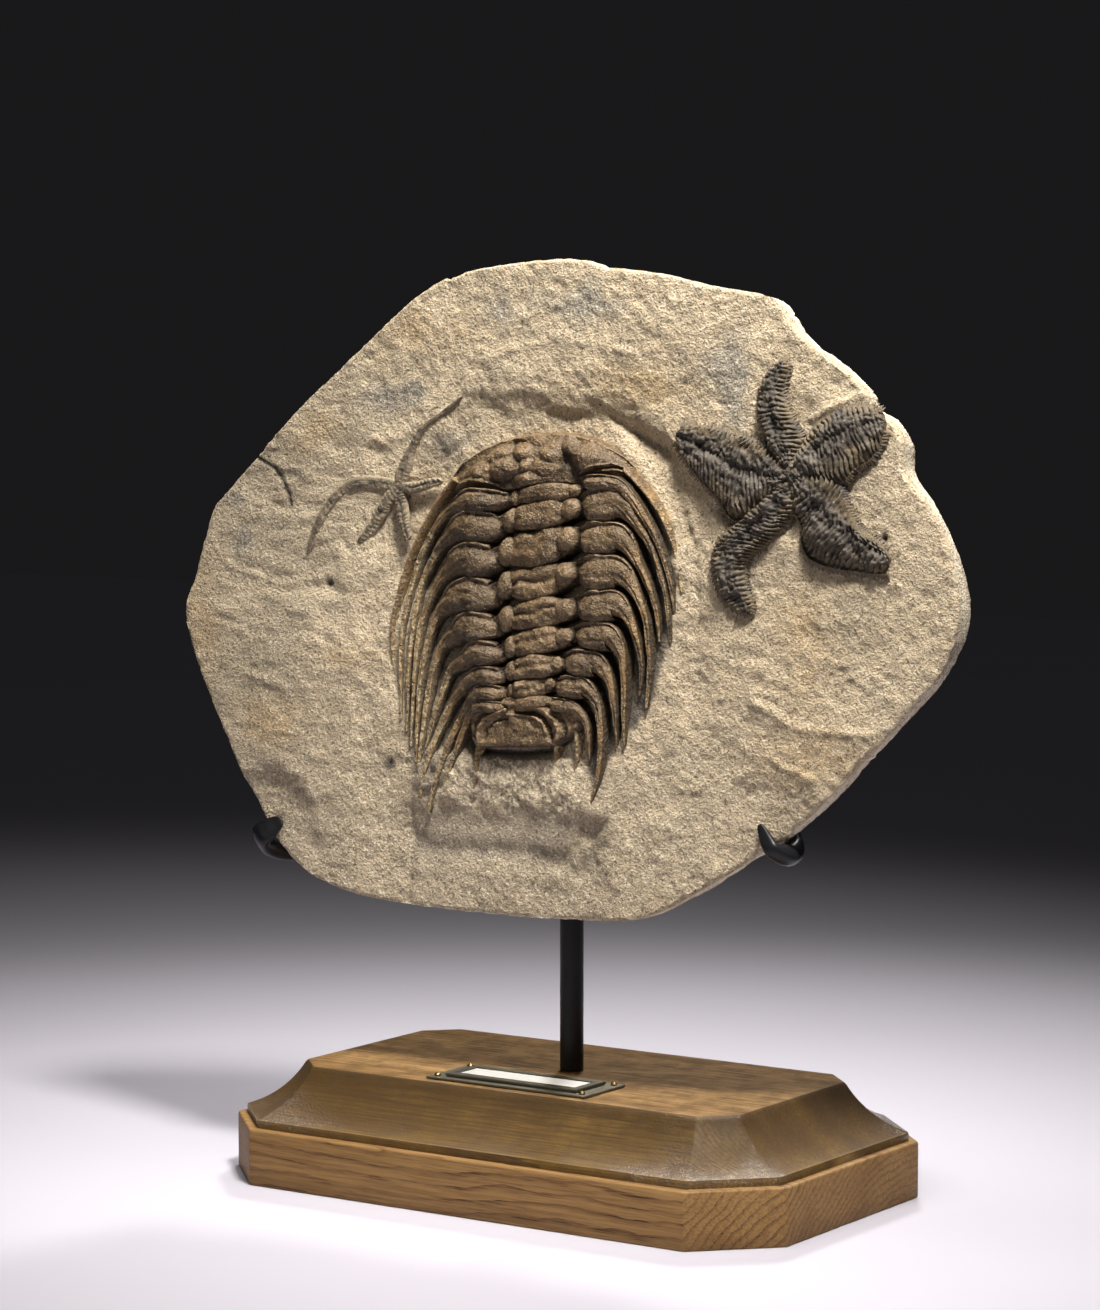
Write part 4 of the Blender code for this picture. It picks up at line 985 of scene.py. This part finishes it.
def buildTrilobite(look):
    body, ends = Shape(), Shape()
    for number, small in enumerate(trilobite["knobSize"]):
        addSegment(body, number)
        relief = reliefOf(number)
        for knobs, size, base, height, turn, seed, paintedTopShade in (
                ("leftKnob", (3.9, 5.3), 6.8, 4.0, -8, 101, 0.42),
                ("rightKnob", (4.8, 4.4), 7.4, 4.3, 20, 121, 0.0)):
            addDome(ends, trilobite[knobs][number], (size[0] * small, size[1] * small), base * relief,
                    height * relief * small, turn, seed + number, paintedTopShade)
    addHead(ends)
    addTail(ends)
    for path, half in trilobite["cheekSpines"]:
        addRidge(ends, path, half, 8.5, 110, 14)
    for name, shape in (("trilobiteSegments", body), ("trilobiteHead", ends)):
        shape.build(name, look, ["crust", "low", "spine"], "trilobite_shell", "trilobite", 60)


def shellLook():
    look = Look("trilobiteShell")
    fine = look.noise(520, 3, 0.68)
    dust = look.noise(1150, 2, 0.6)
    look.start(look.range(look.noise(60, 4, 0.6), 0.35, 0.68), (0.082, 0.048, 0.021), (0.195, 0.122, 0.056))
    look.lay((0.26, 0.175, 0.088), look.range(look.noise(150, 3, 0.6), 0.50, 0.70, (0, 0.6)))
    look.lay((0.030, 0.018, 0.010), look.range(fine, 0.54, 0.66, (0, 0.75)))
    # worn edges pale, painted shade in the hollows, the spines ochre
    worn = look.range(look.edges(), 0.505, 0.56, (0, 0.7))
    look.lay((0.42, 0.30, 0.175), worn, look.range(fine, 0.62, 0.42))
    look.lay((0.018, 0.012, 0.008), look.range(look.edges(), 0.49, 0.44, (0, 0.6)))
    patch = look.range(look.noise(90, 3, 0.6), 0.42, 0.58, (0.1, 0.85))
    look.lay((0.30, 0.180, 0.066), look.mark("spine"), patch)
    look.lay((0.44, 0.32, 0.185), look.range(dust, 0.54, 0.66, (0, 0.5)))
    crust = look.maths("ADD", look.noise(260, 4, 0.7), look.times(look.mark("crust"), 0.24))
    crust = look.range(crust, 0.66, 0.76)
    look.lay((0.56, 0.435, 0.25), crust, look.range(look.noise(820, 3, 0.7), 0.45, 0.55, (0.15, 1.0)))
    # painted shade from the low mark, laid dark over furrows, grooves, edges and feet
    look.lay((0.030, 0.020, 0.011), look.range(look.mark("low"), 0.25, 0.9, (0, 0.85)))
    rough = look.range(look.noise(200, 3, 0.6), 0.3, 0.7, (0.3, 0.52))
    relief = look.relief((fine, 0.0013, 1.0), (dust, 0.0006, 0.9), (crust, 0.0005, 0.7))
    return look.finish(look.maths("MAXIMUM", rough, look.times(crust, 0.9)), relief)


buildTrilobite(shellLook())
print("trilobite built")


# starfish: five arms of crossing ridges with a groove down each and a fringe along the sides

def armLines(star, arm):
    # the left edge, the middle line and the right edge of an arm in even steps
    middle, steps = star["middle"], star["steps"]
    if "left" in arm:
        return [evenly(toPath([middle] + arm[side], 10), steps) for side in ("left", "crest", "right")]
    rows = evenly(toPath([(*middle, arm["line"][0][2] * 0.8)] + arm["line"], 12), steps)
    ahead = headings(rows)
    t = np.linspace(0, 1, steps)[:, None]
    half = rows[:, 2:3] * np.sqrt(np.clip(1 - np.clip((t - 0.93) / 0.075, 0, 1) ** 2, 0.05, 1))
    out = np.column_stack([-ahead[:, 1], ahead[:, 0]]) * half
    return [rows[:, :2] + out, rows[:, :2], rows[:, :2] - out]


def addArm(shape, star, arm, number):
    left, crest, right = armLines(star, arm)
    t = np.linspace(0, 1, len(crest))[:, None]
    s = np.linspace(1, -1, star["across"])
    more, less = np.clip(s, 0, 1), np.clip(-s, 0, 1)
    blunt = np.sqrt(np.clip(1 - np.clip((t - 0.9) / 0.1, 0, 1) ** 2.4, 0.01, 1))
    u, v = (crest[:, k:k + 1] + ((left[:, k:k + 1] - crest[:, k:k + 1]) * more
            + (right[:, k:k + 1] - crest[:, k:k + 1]) * less) * blunt for k in (0, 1))
    # the round body with its sunken middle line
    high = star["rise"] * (1 - 0.03 * number) * (1 - 0.5 * t ** 2)
    steep = arm.get("steep", (1.0, 1.0))
    side = np.abs(s) * np.where(s > 0, steep[0], steep[1])
    body = np.interp(side, [0, 0.34, 0.6, 0.8, 0.93, 1.0], [1.0, 1.0, 0.88, 0.62, 0.34, 0.06])
    line = np.exp(-((side + 0.1 * smoothNoise(u, v, 2, 6.0, 145, 1)) / 0.15) ** 2)
    body = body - arm["sunk"] * line * ease((t - 0.14) / 0.2) - 0.25 * ease((0.13 - t) / 0.13)
    # ribs across the flanks, broken up into beads towards the middle
    s = np.abs(s)
    sway = 0.6 * smoothNoise(u, v, 0, 5.0, 140 + number, 2)
    wave = np.sin(2 * math.pi * (runAlong(crest)[:, None] / star["pitch"] + 0.5 * s + sway))
    beads = np.sin(2 * math.pi * (s * 2.9 + 0.9 * smoothNoise(u, v, 0, 4.0, 147 + number, 2)))
    ribs = 2 * (0.5 + 0.5 * wave) ** 0.6 - 1
    flank = ease((s - 0.42) / 0.35)
    broken = 0.5 + 0.5 * smoothNoise(u, v, 0, 3.0, 148 + number, 2)
    ribs = ribs * (flank + (1 - flank) * (0.35 + 0.65 * broken)) + 0.7 * beads * (1 - flank) * (1.2 - broken)
    ribs = star["ridge"] * arm.get("ribs", 1.0) * ribs * (0.55 + 0.75 * flank)
    ribs = ribs * np.clip((1.05 - s) * 4, 0, 1)
    lumps = 1.0 * smoothNoise(u, v, 0, 1.4, 150 + number, 2) + 2.0 * smoothNoise(u, v, 0, 6.0, 160, 2)
    w = 3.2 + high * body * (0.35 + 0.65 * blunt) + ribs + star["ridge"] * lumps * (1 - 0.5 * flank)
    grid = footed(u, v, w, 2.2)
    hollow = widened(-wave * (0.15 + 0.85 * flank) - 0.6 * lumps * (1 - flank))
    hollow[:, [0, -1]] = 0
    side = np.concatenate([[1.0], s, [1.0]]) + 0 * hollow
    shape.loft(grid, np.stack([side, hollow], axis=2))
    return left, crest, right, high[:, 0]


def addFringe(shape, left, crest, right, high, rng):
    # short blunt bristles that lean out of both sides of an arm
    around = circle(5)
    for edge in (left, right):
        run = runAlong(edge)
        at = 13.0
        while at < run[-1] - 0.5:
            at += rng.uniform(0.95, 1.35)
            spot, before = (np.array([np.interp(x, run, edge[:, k]) for k in (0, 1)]) for x in (at, at - 1))
            middle = [np.interp(at, run, crest[:, k]) for k in (0, 1)]
            tall = np.interp(at, run, high)
            ahead = (spot - before) / max(1e-6, np.linalg.norm(spot - before))
            out = np.array([-ahead[1], ahead[0]])
            out = out if out @ (spot - middle) > 0 else -out
            lean = out + ahead * rng.uniform(0.0, 0.5)
            lean /= np.linalg.norm(lean)
            length = rng.uniform(1.9, 2.9)
            rings = []
            for share, thick in ((0, 0.62), (0.55, 0.5), (1.0, 0.2)):
                centre = spot - out * 1.3 + lean * length * share
                sink = 3.2 + tall * 0.4 - 0.36 * share * tall
                rings.append(np.stack([centre[0] - lean[1] * thick * np.cos(around),
                                       centre[1] + lean[0] * thick * np.cos(around),
                                       sink + thick * np.sin(around)], axis=1))
            shape.loft(np.array(rings), np.ones((len(rings), len(around), 2)) * [1.0, 0.0])


def addDisc(shape, star):
    # the rough middle that the arms grow out of, with a small pit and a groove towards each gap
    angle = circle(96)
    share = np.concatenate([[1.0], np.linspace(1.0, 0.02, 34)])[:, None]
    u = star["middle"][0] + star["disc"] * share * np.cos(angle)
    v = star["middle"][1] + star["disc"] * share * np.sin(angle)
    notch = 0.5 + 0.5 * np.cos(5 * angle + 0.9 + 1.2 * share)
    beads = smoothNoise(u, v, 0, 1.6, 181, 2)
    w = 3.2 + star["rise"] * (1.02 - 0.62 * share ** 2) - 0.8 * notch ** 3 * np.clip(share * 2, 0, 1)
    w = w + 0.75 * beads + 0.8 * smoothNoise(u, v, 0, 4.0, 182, 2) - 1.6 * hump(u, v, star["pit"], (2.2, 1.8))
    w[0] = 2.0
    hollow = np.clip(0.9 * notch ** 3 - 0.7 * beads, -1, 1)
    shape.loft(np.stack([u, v, w], axis=2), np.stack([0.5 + 0 * u, hollow], axis=2))


def buildStar(name, star, look, slot, node, fringe):
    shape = Shape()
    rng = np.random.default_rng(7)
    if fringe:
        addDisc(shape, star)
    for number, arm in enumerate(star["arms"]):
        made = addArm(shape, star, arm, number)
        if fringe:
            addFringe(shape, *made, rng)
    shape.build(name, look, ["side", "hollow"], slot, node, 65)


def starLook(name, dark, light, side, gap, pale):
    look = Look(name)
    fine = look.noise(650, 3, 0.7)
    patch = look.range(look.noise(110, 3, 0.6), 0.34, 0.54)
    outer = look.times(look.range(look.mark("side"), 0.3, 0.75), patch)
    look.start(look.range(look.noise(70, 4, 0.6), 0.35, 0.68), dark, light)
    look.lay(side, outer, 0.45)
    # rib hollows: ochre on the flanks; near the crest painted shade, a third of the dark colour
    gaps = look.blend(outer, tuple(0.35 * c for c in dark), gap)
    look.lay(gaps, look.range(look.mark("hollow"), -0.1, 0.9, (0, 0.75)))
    look.lay(pale, look.range(fine, 0.56, 0.70, (0, 0.6)))
    # painted shade in the creases
    look.lay(tuple(0.2 * c for c in dark), look.range(look.edges(), 0.49, 0.44, (0, 0.6)))
    return look.finish(look.range(fine, 0.3, 0.7, (0.55, 0.85)), look.relief((fine, 0.0007, 0.9)))


starfishGrey = starLook("starfishGrey", (0.044, 0.034, 0.024), (0.118, 0.096, 0.074), (0.17, 0.125, 0.068),
                        (0.34, 0.235, 0.105), (0.27, 0.24, 0.20))
starfishBrown = starLook("starfishBrown", (0.140, 0.110, 0.075), (0.240, 0.188, 0.122), (0.40, 0.32, 0.21),
                         (0.40, 0.31, 0.19), (0.55, 0.46, 0.32))
buildStar("largeStarfish", largeStar, starfishGrey, "starfish_grey", "large_starfish", True)
buildStar("smallStarfish", smallStar, starfishBrown, "starfish_brown", "small_starfish", False)
print("starfish built")


# the oak base: an eight-sided block with a ledge, a fillet and a cove, its edges softly rounded

base = {
    "length": 260.0, "depth": 157.5, "height": 45.0, "clip": 27.9, "block": 22.6, "ledge": 3.5,
    "fillet": 3.2, "coveFrom": 18.0, "coveTo": 61.0, "coveRadius": 41.2, "coveSteps": 26,
    "cornerCut": 0.7, "sideSteps": 10,
}


def octagonRing(inset, z):
    # the eight corners at an inset, each cut by a narrow facet, with points along the sides
    a, b = base["length"] / 2 - inset, base["depth"] / 2 - inset
    c = base["clip"] - (2 - math.sqrt(2)) * inset
    corners = np.array([(a, -b + c), (a, b - c), (a - c, b), (-a + c, b), (-a, b - c), (-a, -b + c),
                        (-a + c, -b), (a - c, -b)])
    cut, steps = base["cornerCut"], base["sideSteps"]
    ring = []
    for i, corner in enumerate(corners):
        following = corners[(i + 1) % 8]
        before, after = corners[i - 1] - corner, following - corner
        first = corner + before / np.linalg.norm(before) * cut
        last = corner + after / np.linalg.norm(after) * cut
        end = following - after / np.linalg.norm(after) * cut
        ring += [first, (first + last + corner) / 3, last]
        ring += [last + (end - last) * k / steps for k in range(1, steps)]
    ring = np.array(ring)
    return np.column_stack([ring, np.full(len(ring), z)])


def buildBase(look):
    top, ledgeZ, coveLow = base["height"], base["block"], base["block"] + base["fillet"]
    ledge, radius, steps = base["ledge"], base["coveRadius"], base["coveSteps"]
    # inset and height, from the underside up
    profile = [(0.8, 0.0), (0.25, 0.25), (0.0, 0.8), (0.0, 8), (0.0, 16), (0.0, ledgeZ - 1.2),
               (0.15, ledgeZ - 0.55), (0.5, ledgeZ - 0.15), (1.1, ledgeZ), (ledge - 0.1, ledgeZ),
               (ledge, ledgeZ + 0.1), (ledge, coveLow - 0.6), (ledge + 0.2, coveLow - 0.15)]
    first, last = math.radians(base["coveFrom"]), math.radians(base["coveTo"])
    for i in range(steps + 1):
        a = first + (last - first) * i / steps
        inset = ledge + radius * (math.sin(a) - math.sin(first))
        profile.append((inset + 0.15, coveLow + radius * (math.cos(first) - math.cos(a))))
    endInset = profile[-1][0]
    profile[-1] = (endInset + 0.1, top - 0.35)
    profile += [(endInset + 0.45, top - 0.08), (endInset + 1.0, top)]
    rings = [octagonRing(inset, min(z, top)) for inset, z in profile]
    for share in (0.9, 0.75, 0.6, 0.4, 0.2, 0.04):
        rings.append(rings[len(profile) - 1] * (share, share, 1.0))
    rings = np.array(rings)
    rows, count, _ = rings.shape
    points = rings.reshape(-1, 3) * mm
    upper = ease((points[:, 2] / mm - ledgeZ - 0.02) / 0.08)
    # painted shade, darker up the cove to the rim of the flat top
    row = np.repeat(np.arange(rows), count)
    paintedCoveShade = np.interp(row, [13, 22, 36, 40, 41], [0, 0.4, 1.0, 1.0, 0.0])
    flat = np.interp(row, [39, 41], [0.0, 1.0])
    across = sum(np.abs(points[:, k]) / (base[side] / 2 * mm) for k, side in enumerate(("length", "depth")))
    corner = ease((across - 1.42) / 0.12) * (1 - flat)
    meshPiece("oakBase", points, loftFaces(rows, count), look, "wood_base", 28,
              {"upper": upper, "paintedCoveShade": paintedCoveShade, "flat": flat, "corner": corner})


def growthRings(look, turn, shift, scale, warp):
    # rings round an axis that runs along the block, a little askew
    place = look.stretched((0.4, 1.0, 1.0), turn)
    moved = look.node("ShaderNodeVectorMath", {0: place, 1: shift}, operation="ADD").outputs[0]
    inputs = {"Vector": moved, "Scale": scale, "Distortion": warp, "Detail": 3.0, "Detail Scale": 0.5}
    settings = {"wave_type": "RINGS", "rings_direction": "X", "wave_profile": "SAW"}
    return look.node("ShaderNodeTexWave", inputs, **settings).outputs["Fac"]


def oakLook():
    look = Look("oak")
    upper, flat = look.mark("upper"), look.mark("flat")

    def drawnOut(detail, rough, scale):
        # noise drawn out along the grain
        return look.noise(1.0, detail, rough, look.stretched(scale))

    def perBlock(low, high):
        # one value for the lower block, another for the upper
        return look.range(upper, 0, 1, (low, high))

    # the lighter and deeper wood of the lower block, the upper block and its flat top
    lower = growthRings(look, (0.0, 1.2, 1.6), (0.0, -0.045, 0.075), 105.0, 7.5)
    higher = growthRings(look, (0.0, -0.8, -1.2), (0.0, -0.120, -0.010), 210.0, 5.0)
    fibres = drawnOut(4, 0.65, (26, 1000, 1000))
    # the lighter and deeper wood of the lower block and the upper block, and a lighter copy for the flat top,
    # which is painted light
    pores = drawnOut(2, 0.6, (75, 2100, 2100))
    light = look.blend(upper, (0.330, 0.192, 0.074), (0.200, 0.118, 0.026))
    deep = look.blend(upper, (0.225, 0.122, 0.043), (0.062, 0.033, 0.006))
    light = look.blend(flat, light, (0.325, 0.196, 0.080))
    deep = look.blend(flat, deep, (0.215, 0.124, 0.048))
    look.start(look.range(drawnOut(3, 0.5, (6, 45, 45)), 0.3, 0.7), deep, light)
    # the early wood of each ring, a mottle, the fibres and the open pores
    grainTone = look.blend(upper, (0.120, 0.058, 0.026), (0.062, 0.032, 0.012))
    early = look.range(look.blend(upper, lower, higher), 0.55, 0.95)
    early = look.times(early, look.range(look.noise(30, 3, 0.6), 0.35, 0.65, (0.35, 1.0)))
    early = look.times(early, look.range(flat, 0, 1, (0.85, 0.45)))
    look.lay(grainTone, early)
    look.lay((0.070, 0.040, 0.015), upper, look.range(look.noise(85, 5, 0.7), 0.42, 0.62, (0, 0.6)))
    look.lay(grainTone, look.range(fibres, 0.44, 0.62), perBlock(0.45, 0.75))
    dash = look.times(look.range(pores, 0.55, 0.62), look.range(early, 0.05, 0.6, (0.3, 1.0)))
    look.lay((0.040, 0.020, 0.010), dash, 0.85)
    patch = look.range(look.noise(45, 3, 0.6), 0.3, 0.7, (0.35, 0.8))
    # painted shade up the cove, broken by a patch noise
    look.lay((0.040, 0.022, 0.007), look.mark("paintedCoveShade"), patch)
    look.lay((0.36, 0.23, 0.11), look.range(look.edges(), 0.52, 0.60, (0, 0.35)))
    # the varnish, thickest at the front corner of the cove
    fine = look.noise(1400, 2, 0.5)
    relief = look.relief((dash, 0.00025, -0.5), (fibres, 0.0002, 0.35), (fine, 0.0001, 0.5))
    varnish = look.relief((look.noise(900, 2, 0.7), 0.0015, 1.0), (dash, 0.0003, -0.6))
    thick = look.times(upper, look.range(look.mark("corner"), 0, 1, (0.2, 1.0)))
    gloss = {"Specular IOR Level": look.range(flat, 0, 1, (0.12, 0.02)), "Coat Roughness": 0.09,
             "Coat Weight": look.times(thick, look.range(flat, 0, 1, (1.0, 0.0))), "Coat Normal": varnish}
    return look.finish(look.range(fibres, 0.3, 0.7, (0.45, 0.6)), relief, **gloss)


buildBase(oakLook())
print("base built")


# the black metal: post, hidden bracket and the two claws

def metalLook(name, colour, rough, metallic, fineness, shine=0.5):
    look = Look(name)
    fine = look.noise(fineness, 4, 0.6)
    lighter = tuple(min(1.0, c * 1.9 + 0.01) for c in colour)
    worn = tuple(min(1.0, c * 2.5 + 0.03) for c in colour)
    look.start(look.range(look.noise(40, 3, 0.5), 0.35, 0.7, (0, 0.5)), colour, lighter)
    look.lay(worn, look.range(look.edges(), 0.53, 0.62, (0, 0.5)))
    more = {"Metallic": metallic, "Specular IOR Level": shine}
    rough = look.range(fine, 0.3, 0.7, (rough * 0.8, rough * 1.25))
    return look.finish(rough, look.relief((fine, 0.00015, 0.5)), **more)


post = {"radius": 4.75, "from": 45.3, "rings": 12, "firstRing": 52.0, "apart": 12.0, "sides": 64,
        "top": [(4.75, 189.2), (4.5, 189.7), (4.1, 190.0)]}


def buildPost(look):
    # rows of radius and height, each ring a hair thinner than the next one
    radius = post["radius"]
    rows = [(radius, post["from"])]
    rows += [(radius - 0.04 * (k % 2), post["firstRing"] + post["apart"] * k) for k in range(post["rings"])]
    rows += post["top"]
    angle = circle(post["sides"])
    rings = [np.stack([r * np.cos(angle), r * np.sin(angle), z + 0 * angle], axis=1) for r, z in rows]
    meshPiece("standPost", np.concatenate(rings) * mm, loftFaces(len(rows), post["sides"]), look,
              "post", 50)


claw = {
    "width": 11.0, "thick": 2.4, "tail": 13.0, "reach": 9.0, "legW": -15.6, "face": 2.3, "around": 32,
    # the middle of the hook, the way out of the plate, the strap's width share
    "places": {"left": ((-129.5, -64.5), (-0.76, -0.65), 1.3),
               "right": ((109.5, -53.7), (0.56, -0.83), 0.8)},
    # reach and height of the bend behind the plate
    "legs": {"left": [(-0.5, -15.9), (3.6, -12.2), (5.4, -6.6)],
             "right": [(-2.4, -16.1), (2.0, -13.2), (5.2, -7.6)]},
    "slides": {"left": [0, 2.5, 5.5, 6.5, 4.5, 2.2, 1.0, 0.8, 0.9, 1.1, 1.2],
               "right": [0, 0.4, 1.0, 1.8, 2.3, 2.2, 1.6, 1.0, 0.6, 0.5, 0.5]},
}


def buildClaw(side, look):
    # a strap behind the plate that swells into a finger round its edge and hooks over the face
    middle, out, broad = claw["places"][side]
    out = np.array(out) / np.linalg.norm(out)
    face, back = claw["face"], claw["legW"] - claw["thick"] / 2
    (reachA, heightA), (reachB, heightB), (reachC, heightC) = claw["legs"][side]
    # reach, height, width share, half thickness
    rows = [
        (-claw["tail"], back, 1.0, 1.2), (reachA - 5.5, back, 1.0, 1.2), (reachA, heightA, 0.9 * broad, 1.7),
        (reachB, heightB, 0.82 * broad, 2.9), (reachC, heightC, 0.8 * broad, 3.8),
        (5.2, -1.3, 0.78 * broad, 3.8), (2.6, face + 1.3, 0.74 * broad, 2.3),
        (-1.5, face + 1.2, 0.66 * broad, 1.6), (-5.5, face + 0.2, 0.5 * broad, 1.1),
        (-8.0, face - 0.2, 0.32 * broad, 0.8), (-claw["reach"], face - 0.4, 0.14, 0.4)]
    path = toPath([(*row, slide) for row, slide in zip(rows, claw["slides"][side])], 9)
    angle = circle(claw["around"])
    flatS = np.sign(np.cos(angle)) * np.abs(np.cos(angle)) ** 0.7
    flatN = np.sign(np.sin(angle)) * np.abs(np.sin(angle)) ** 0.85
    reach, w = ribbon(path, flatN, path[:, 3:4])
    slide = path[:, 4:5] + flatS * path[:, 2:3] * claw["width"] / 2
    u = middle[0] + out[0] * reach - out[1] * slide
    v = middle[1] + out[1] * reach + out[0] * slide
    dent = 0.12 * smoothNoise(u, v, w, 5.0, 171, 2)
    world = plateToWorld((u + dent).ravel(), v.ravel(), w.ravel())
    meshPiece(side + "Claw", world, loftFaces(*u.shape), look, side + "_claw", 60)


def setLook(node, look):
    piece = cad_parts[node]
    piece.data.materials.clear()
    piece.data.materials.append(look)


blackLook = metalLook("blackMetal", (0.006, 0.006, 0.007), 0.34, 0.0, 700, 0.28)
buildPost(blackLook)
for side in ("left", "right"):
    buildClaw(side, blackLook)
setLook("rear_bracket", blackLook)
print("metal built")


# the label holder on top of the base, its card left blank

def cardLook():
    look = Look("silverCard")
    fine = look.noise(900, 3, 0.6)
    streak = look.noise(1.0, 3, 0.6, look.stretched((60, 900, 900)))
    look.start(look.range(streak, 0.3, 0.7), (0.50, 0.475, 0.43), (0.60, 0.575, 0.53))
    look.lay((0.42, 0.40, 0.36), look.range(fine, 0.6, 0.75, (0, 0.4)))
    rough = look.range(fine, 0.3, 0.7, (0.28, 0.45))
    return look.finish(rough, look.relief((streak, 0.0001, 0.3)), Metallic=0.35)


bronze = metalLook("darkBronze", (0.060, 0.052, 0.032), 0.34, 0.75, 500)
brass = metalLook("brass", (0.40, 0.28, 0.12), 0.25, 1.0, 900)
for node in ("label_plate", "label_frame"):
    setLook(node, bronze)
setLook("label_insert", cardLook())
for number in range(1, 5):
    setLook("label_pin_%d" % number, brass)
print("label dressed")


# studio: floor, lights and camera

studio = {
    "floorHalf": 3.0, "air": (0.0098, 0.0094, 0.0102),
    # place, target, side, power, colour, spread in degrees
    "lights": {
        "overhead": ((0.04, -0.10, 1.05), (0.02, -0.14, 0), 0.5, 1.25, (1.0, 0.97, 0.93), 68),
        "key": ((0.47, -0.35, 1.27), (0.02, -0.04, 0.22), 0.22, 2.72, (1.0, 0.97, 0.93), 54),
        "backLight": ((-0.36, 0.82, 0.92), (0, -0.02, 0.1), 0.2, 1.35, (1.0, 0.98, 0.97), 64),
        "frontFill": ((-0.1, -1.6, 0.7), (0, 0, 0.2), 0.9, 0.62, (1.0, 0.98, 0.95), 120)},
    "camera": (0.8453, -1.2677, 0.33375), "forward": (-0.55774, 0.82617, -0.07980),
    "lens": 105.8, "sensor": 36, "nearest": 0.05,
}


def aimed(thing, place, forward):
    thing.location = place
    thing.rotation_euler = Vector(forward).to_track_quat("-Z", "Y").to_euler()


def floorLook():
    look = Look("floorPaper")
    look.start(look.range(look.noise(3, 2, 0.5), 0.3, 0.7), (0.438, 0.421, 0.472), (0.466, 0.448, 0.501))
    return look.finish(0.75, None, **{"Emission Color": (0.92, 0.88, 1.0), "Emission Strength": 0.0055})


def buildFloor(look):
    half = studio["floorHalf"]
    corners = [(x, y, 0) for x, y in ((-half, -half), (half, -half), (half, half), (-half, half))]
    mesh = bpy.data.meshes.new("floor")
    mesh.from_pydata(corners, [], [(0, 1, 2, 3)])
    mesh.materials.append(look)
    floor = addObject("floor", mesh)


def addLight(name, place, target, side, power, colour, spread):
    data = bpy.data.lights.new(name, "AREA")
    data.shape = "RECTANGLE"
    data.size = data.size_y = side
    data.energy = power
    data.spread = math.radians(spread)
    data.color = colour
    aimed(addObject(name, data), place, Vector(target) - Vector(place))


def addCamera():
    lens = bpy.data.cameras.new("camera")
    lens.sensor_width = studio["sensor"]
    lens.lens = studio["lens"]
    lens.clip_start = studio["nearest"]
    camera = addObject("camera", lens)
    aimed(camera, studio["camera"], studio["forward"])
    bpy.context.scene.camera = camera


def buildStudio():
    buildFloor(floorLook())
    for name, values in studio["lights"].items():
        addLight(name, *values)
    world = bpy.data.worlds.new("studio")
    world.use_nodes = True
    air = world.node_tree.nodes["Background"].inputs
    air["Color"].default_value = (*studio["air"], 1)
    air["Strength"].default_value = 1.0
    bpy.context.scene.world = world
    addCamera()
    bpy.context.scene.view_settings.view_transform = "Standard"


buildStudio()
print("studio built")
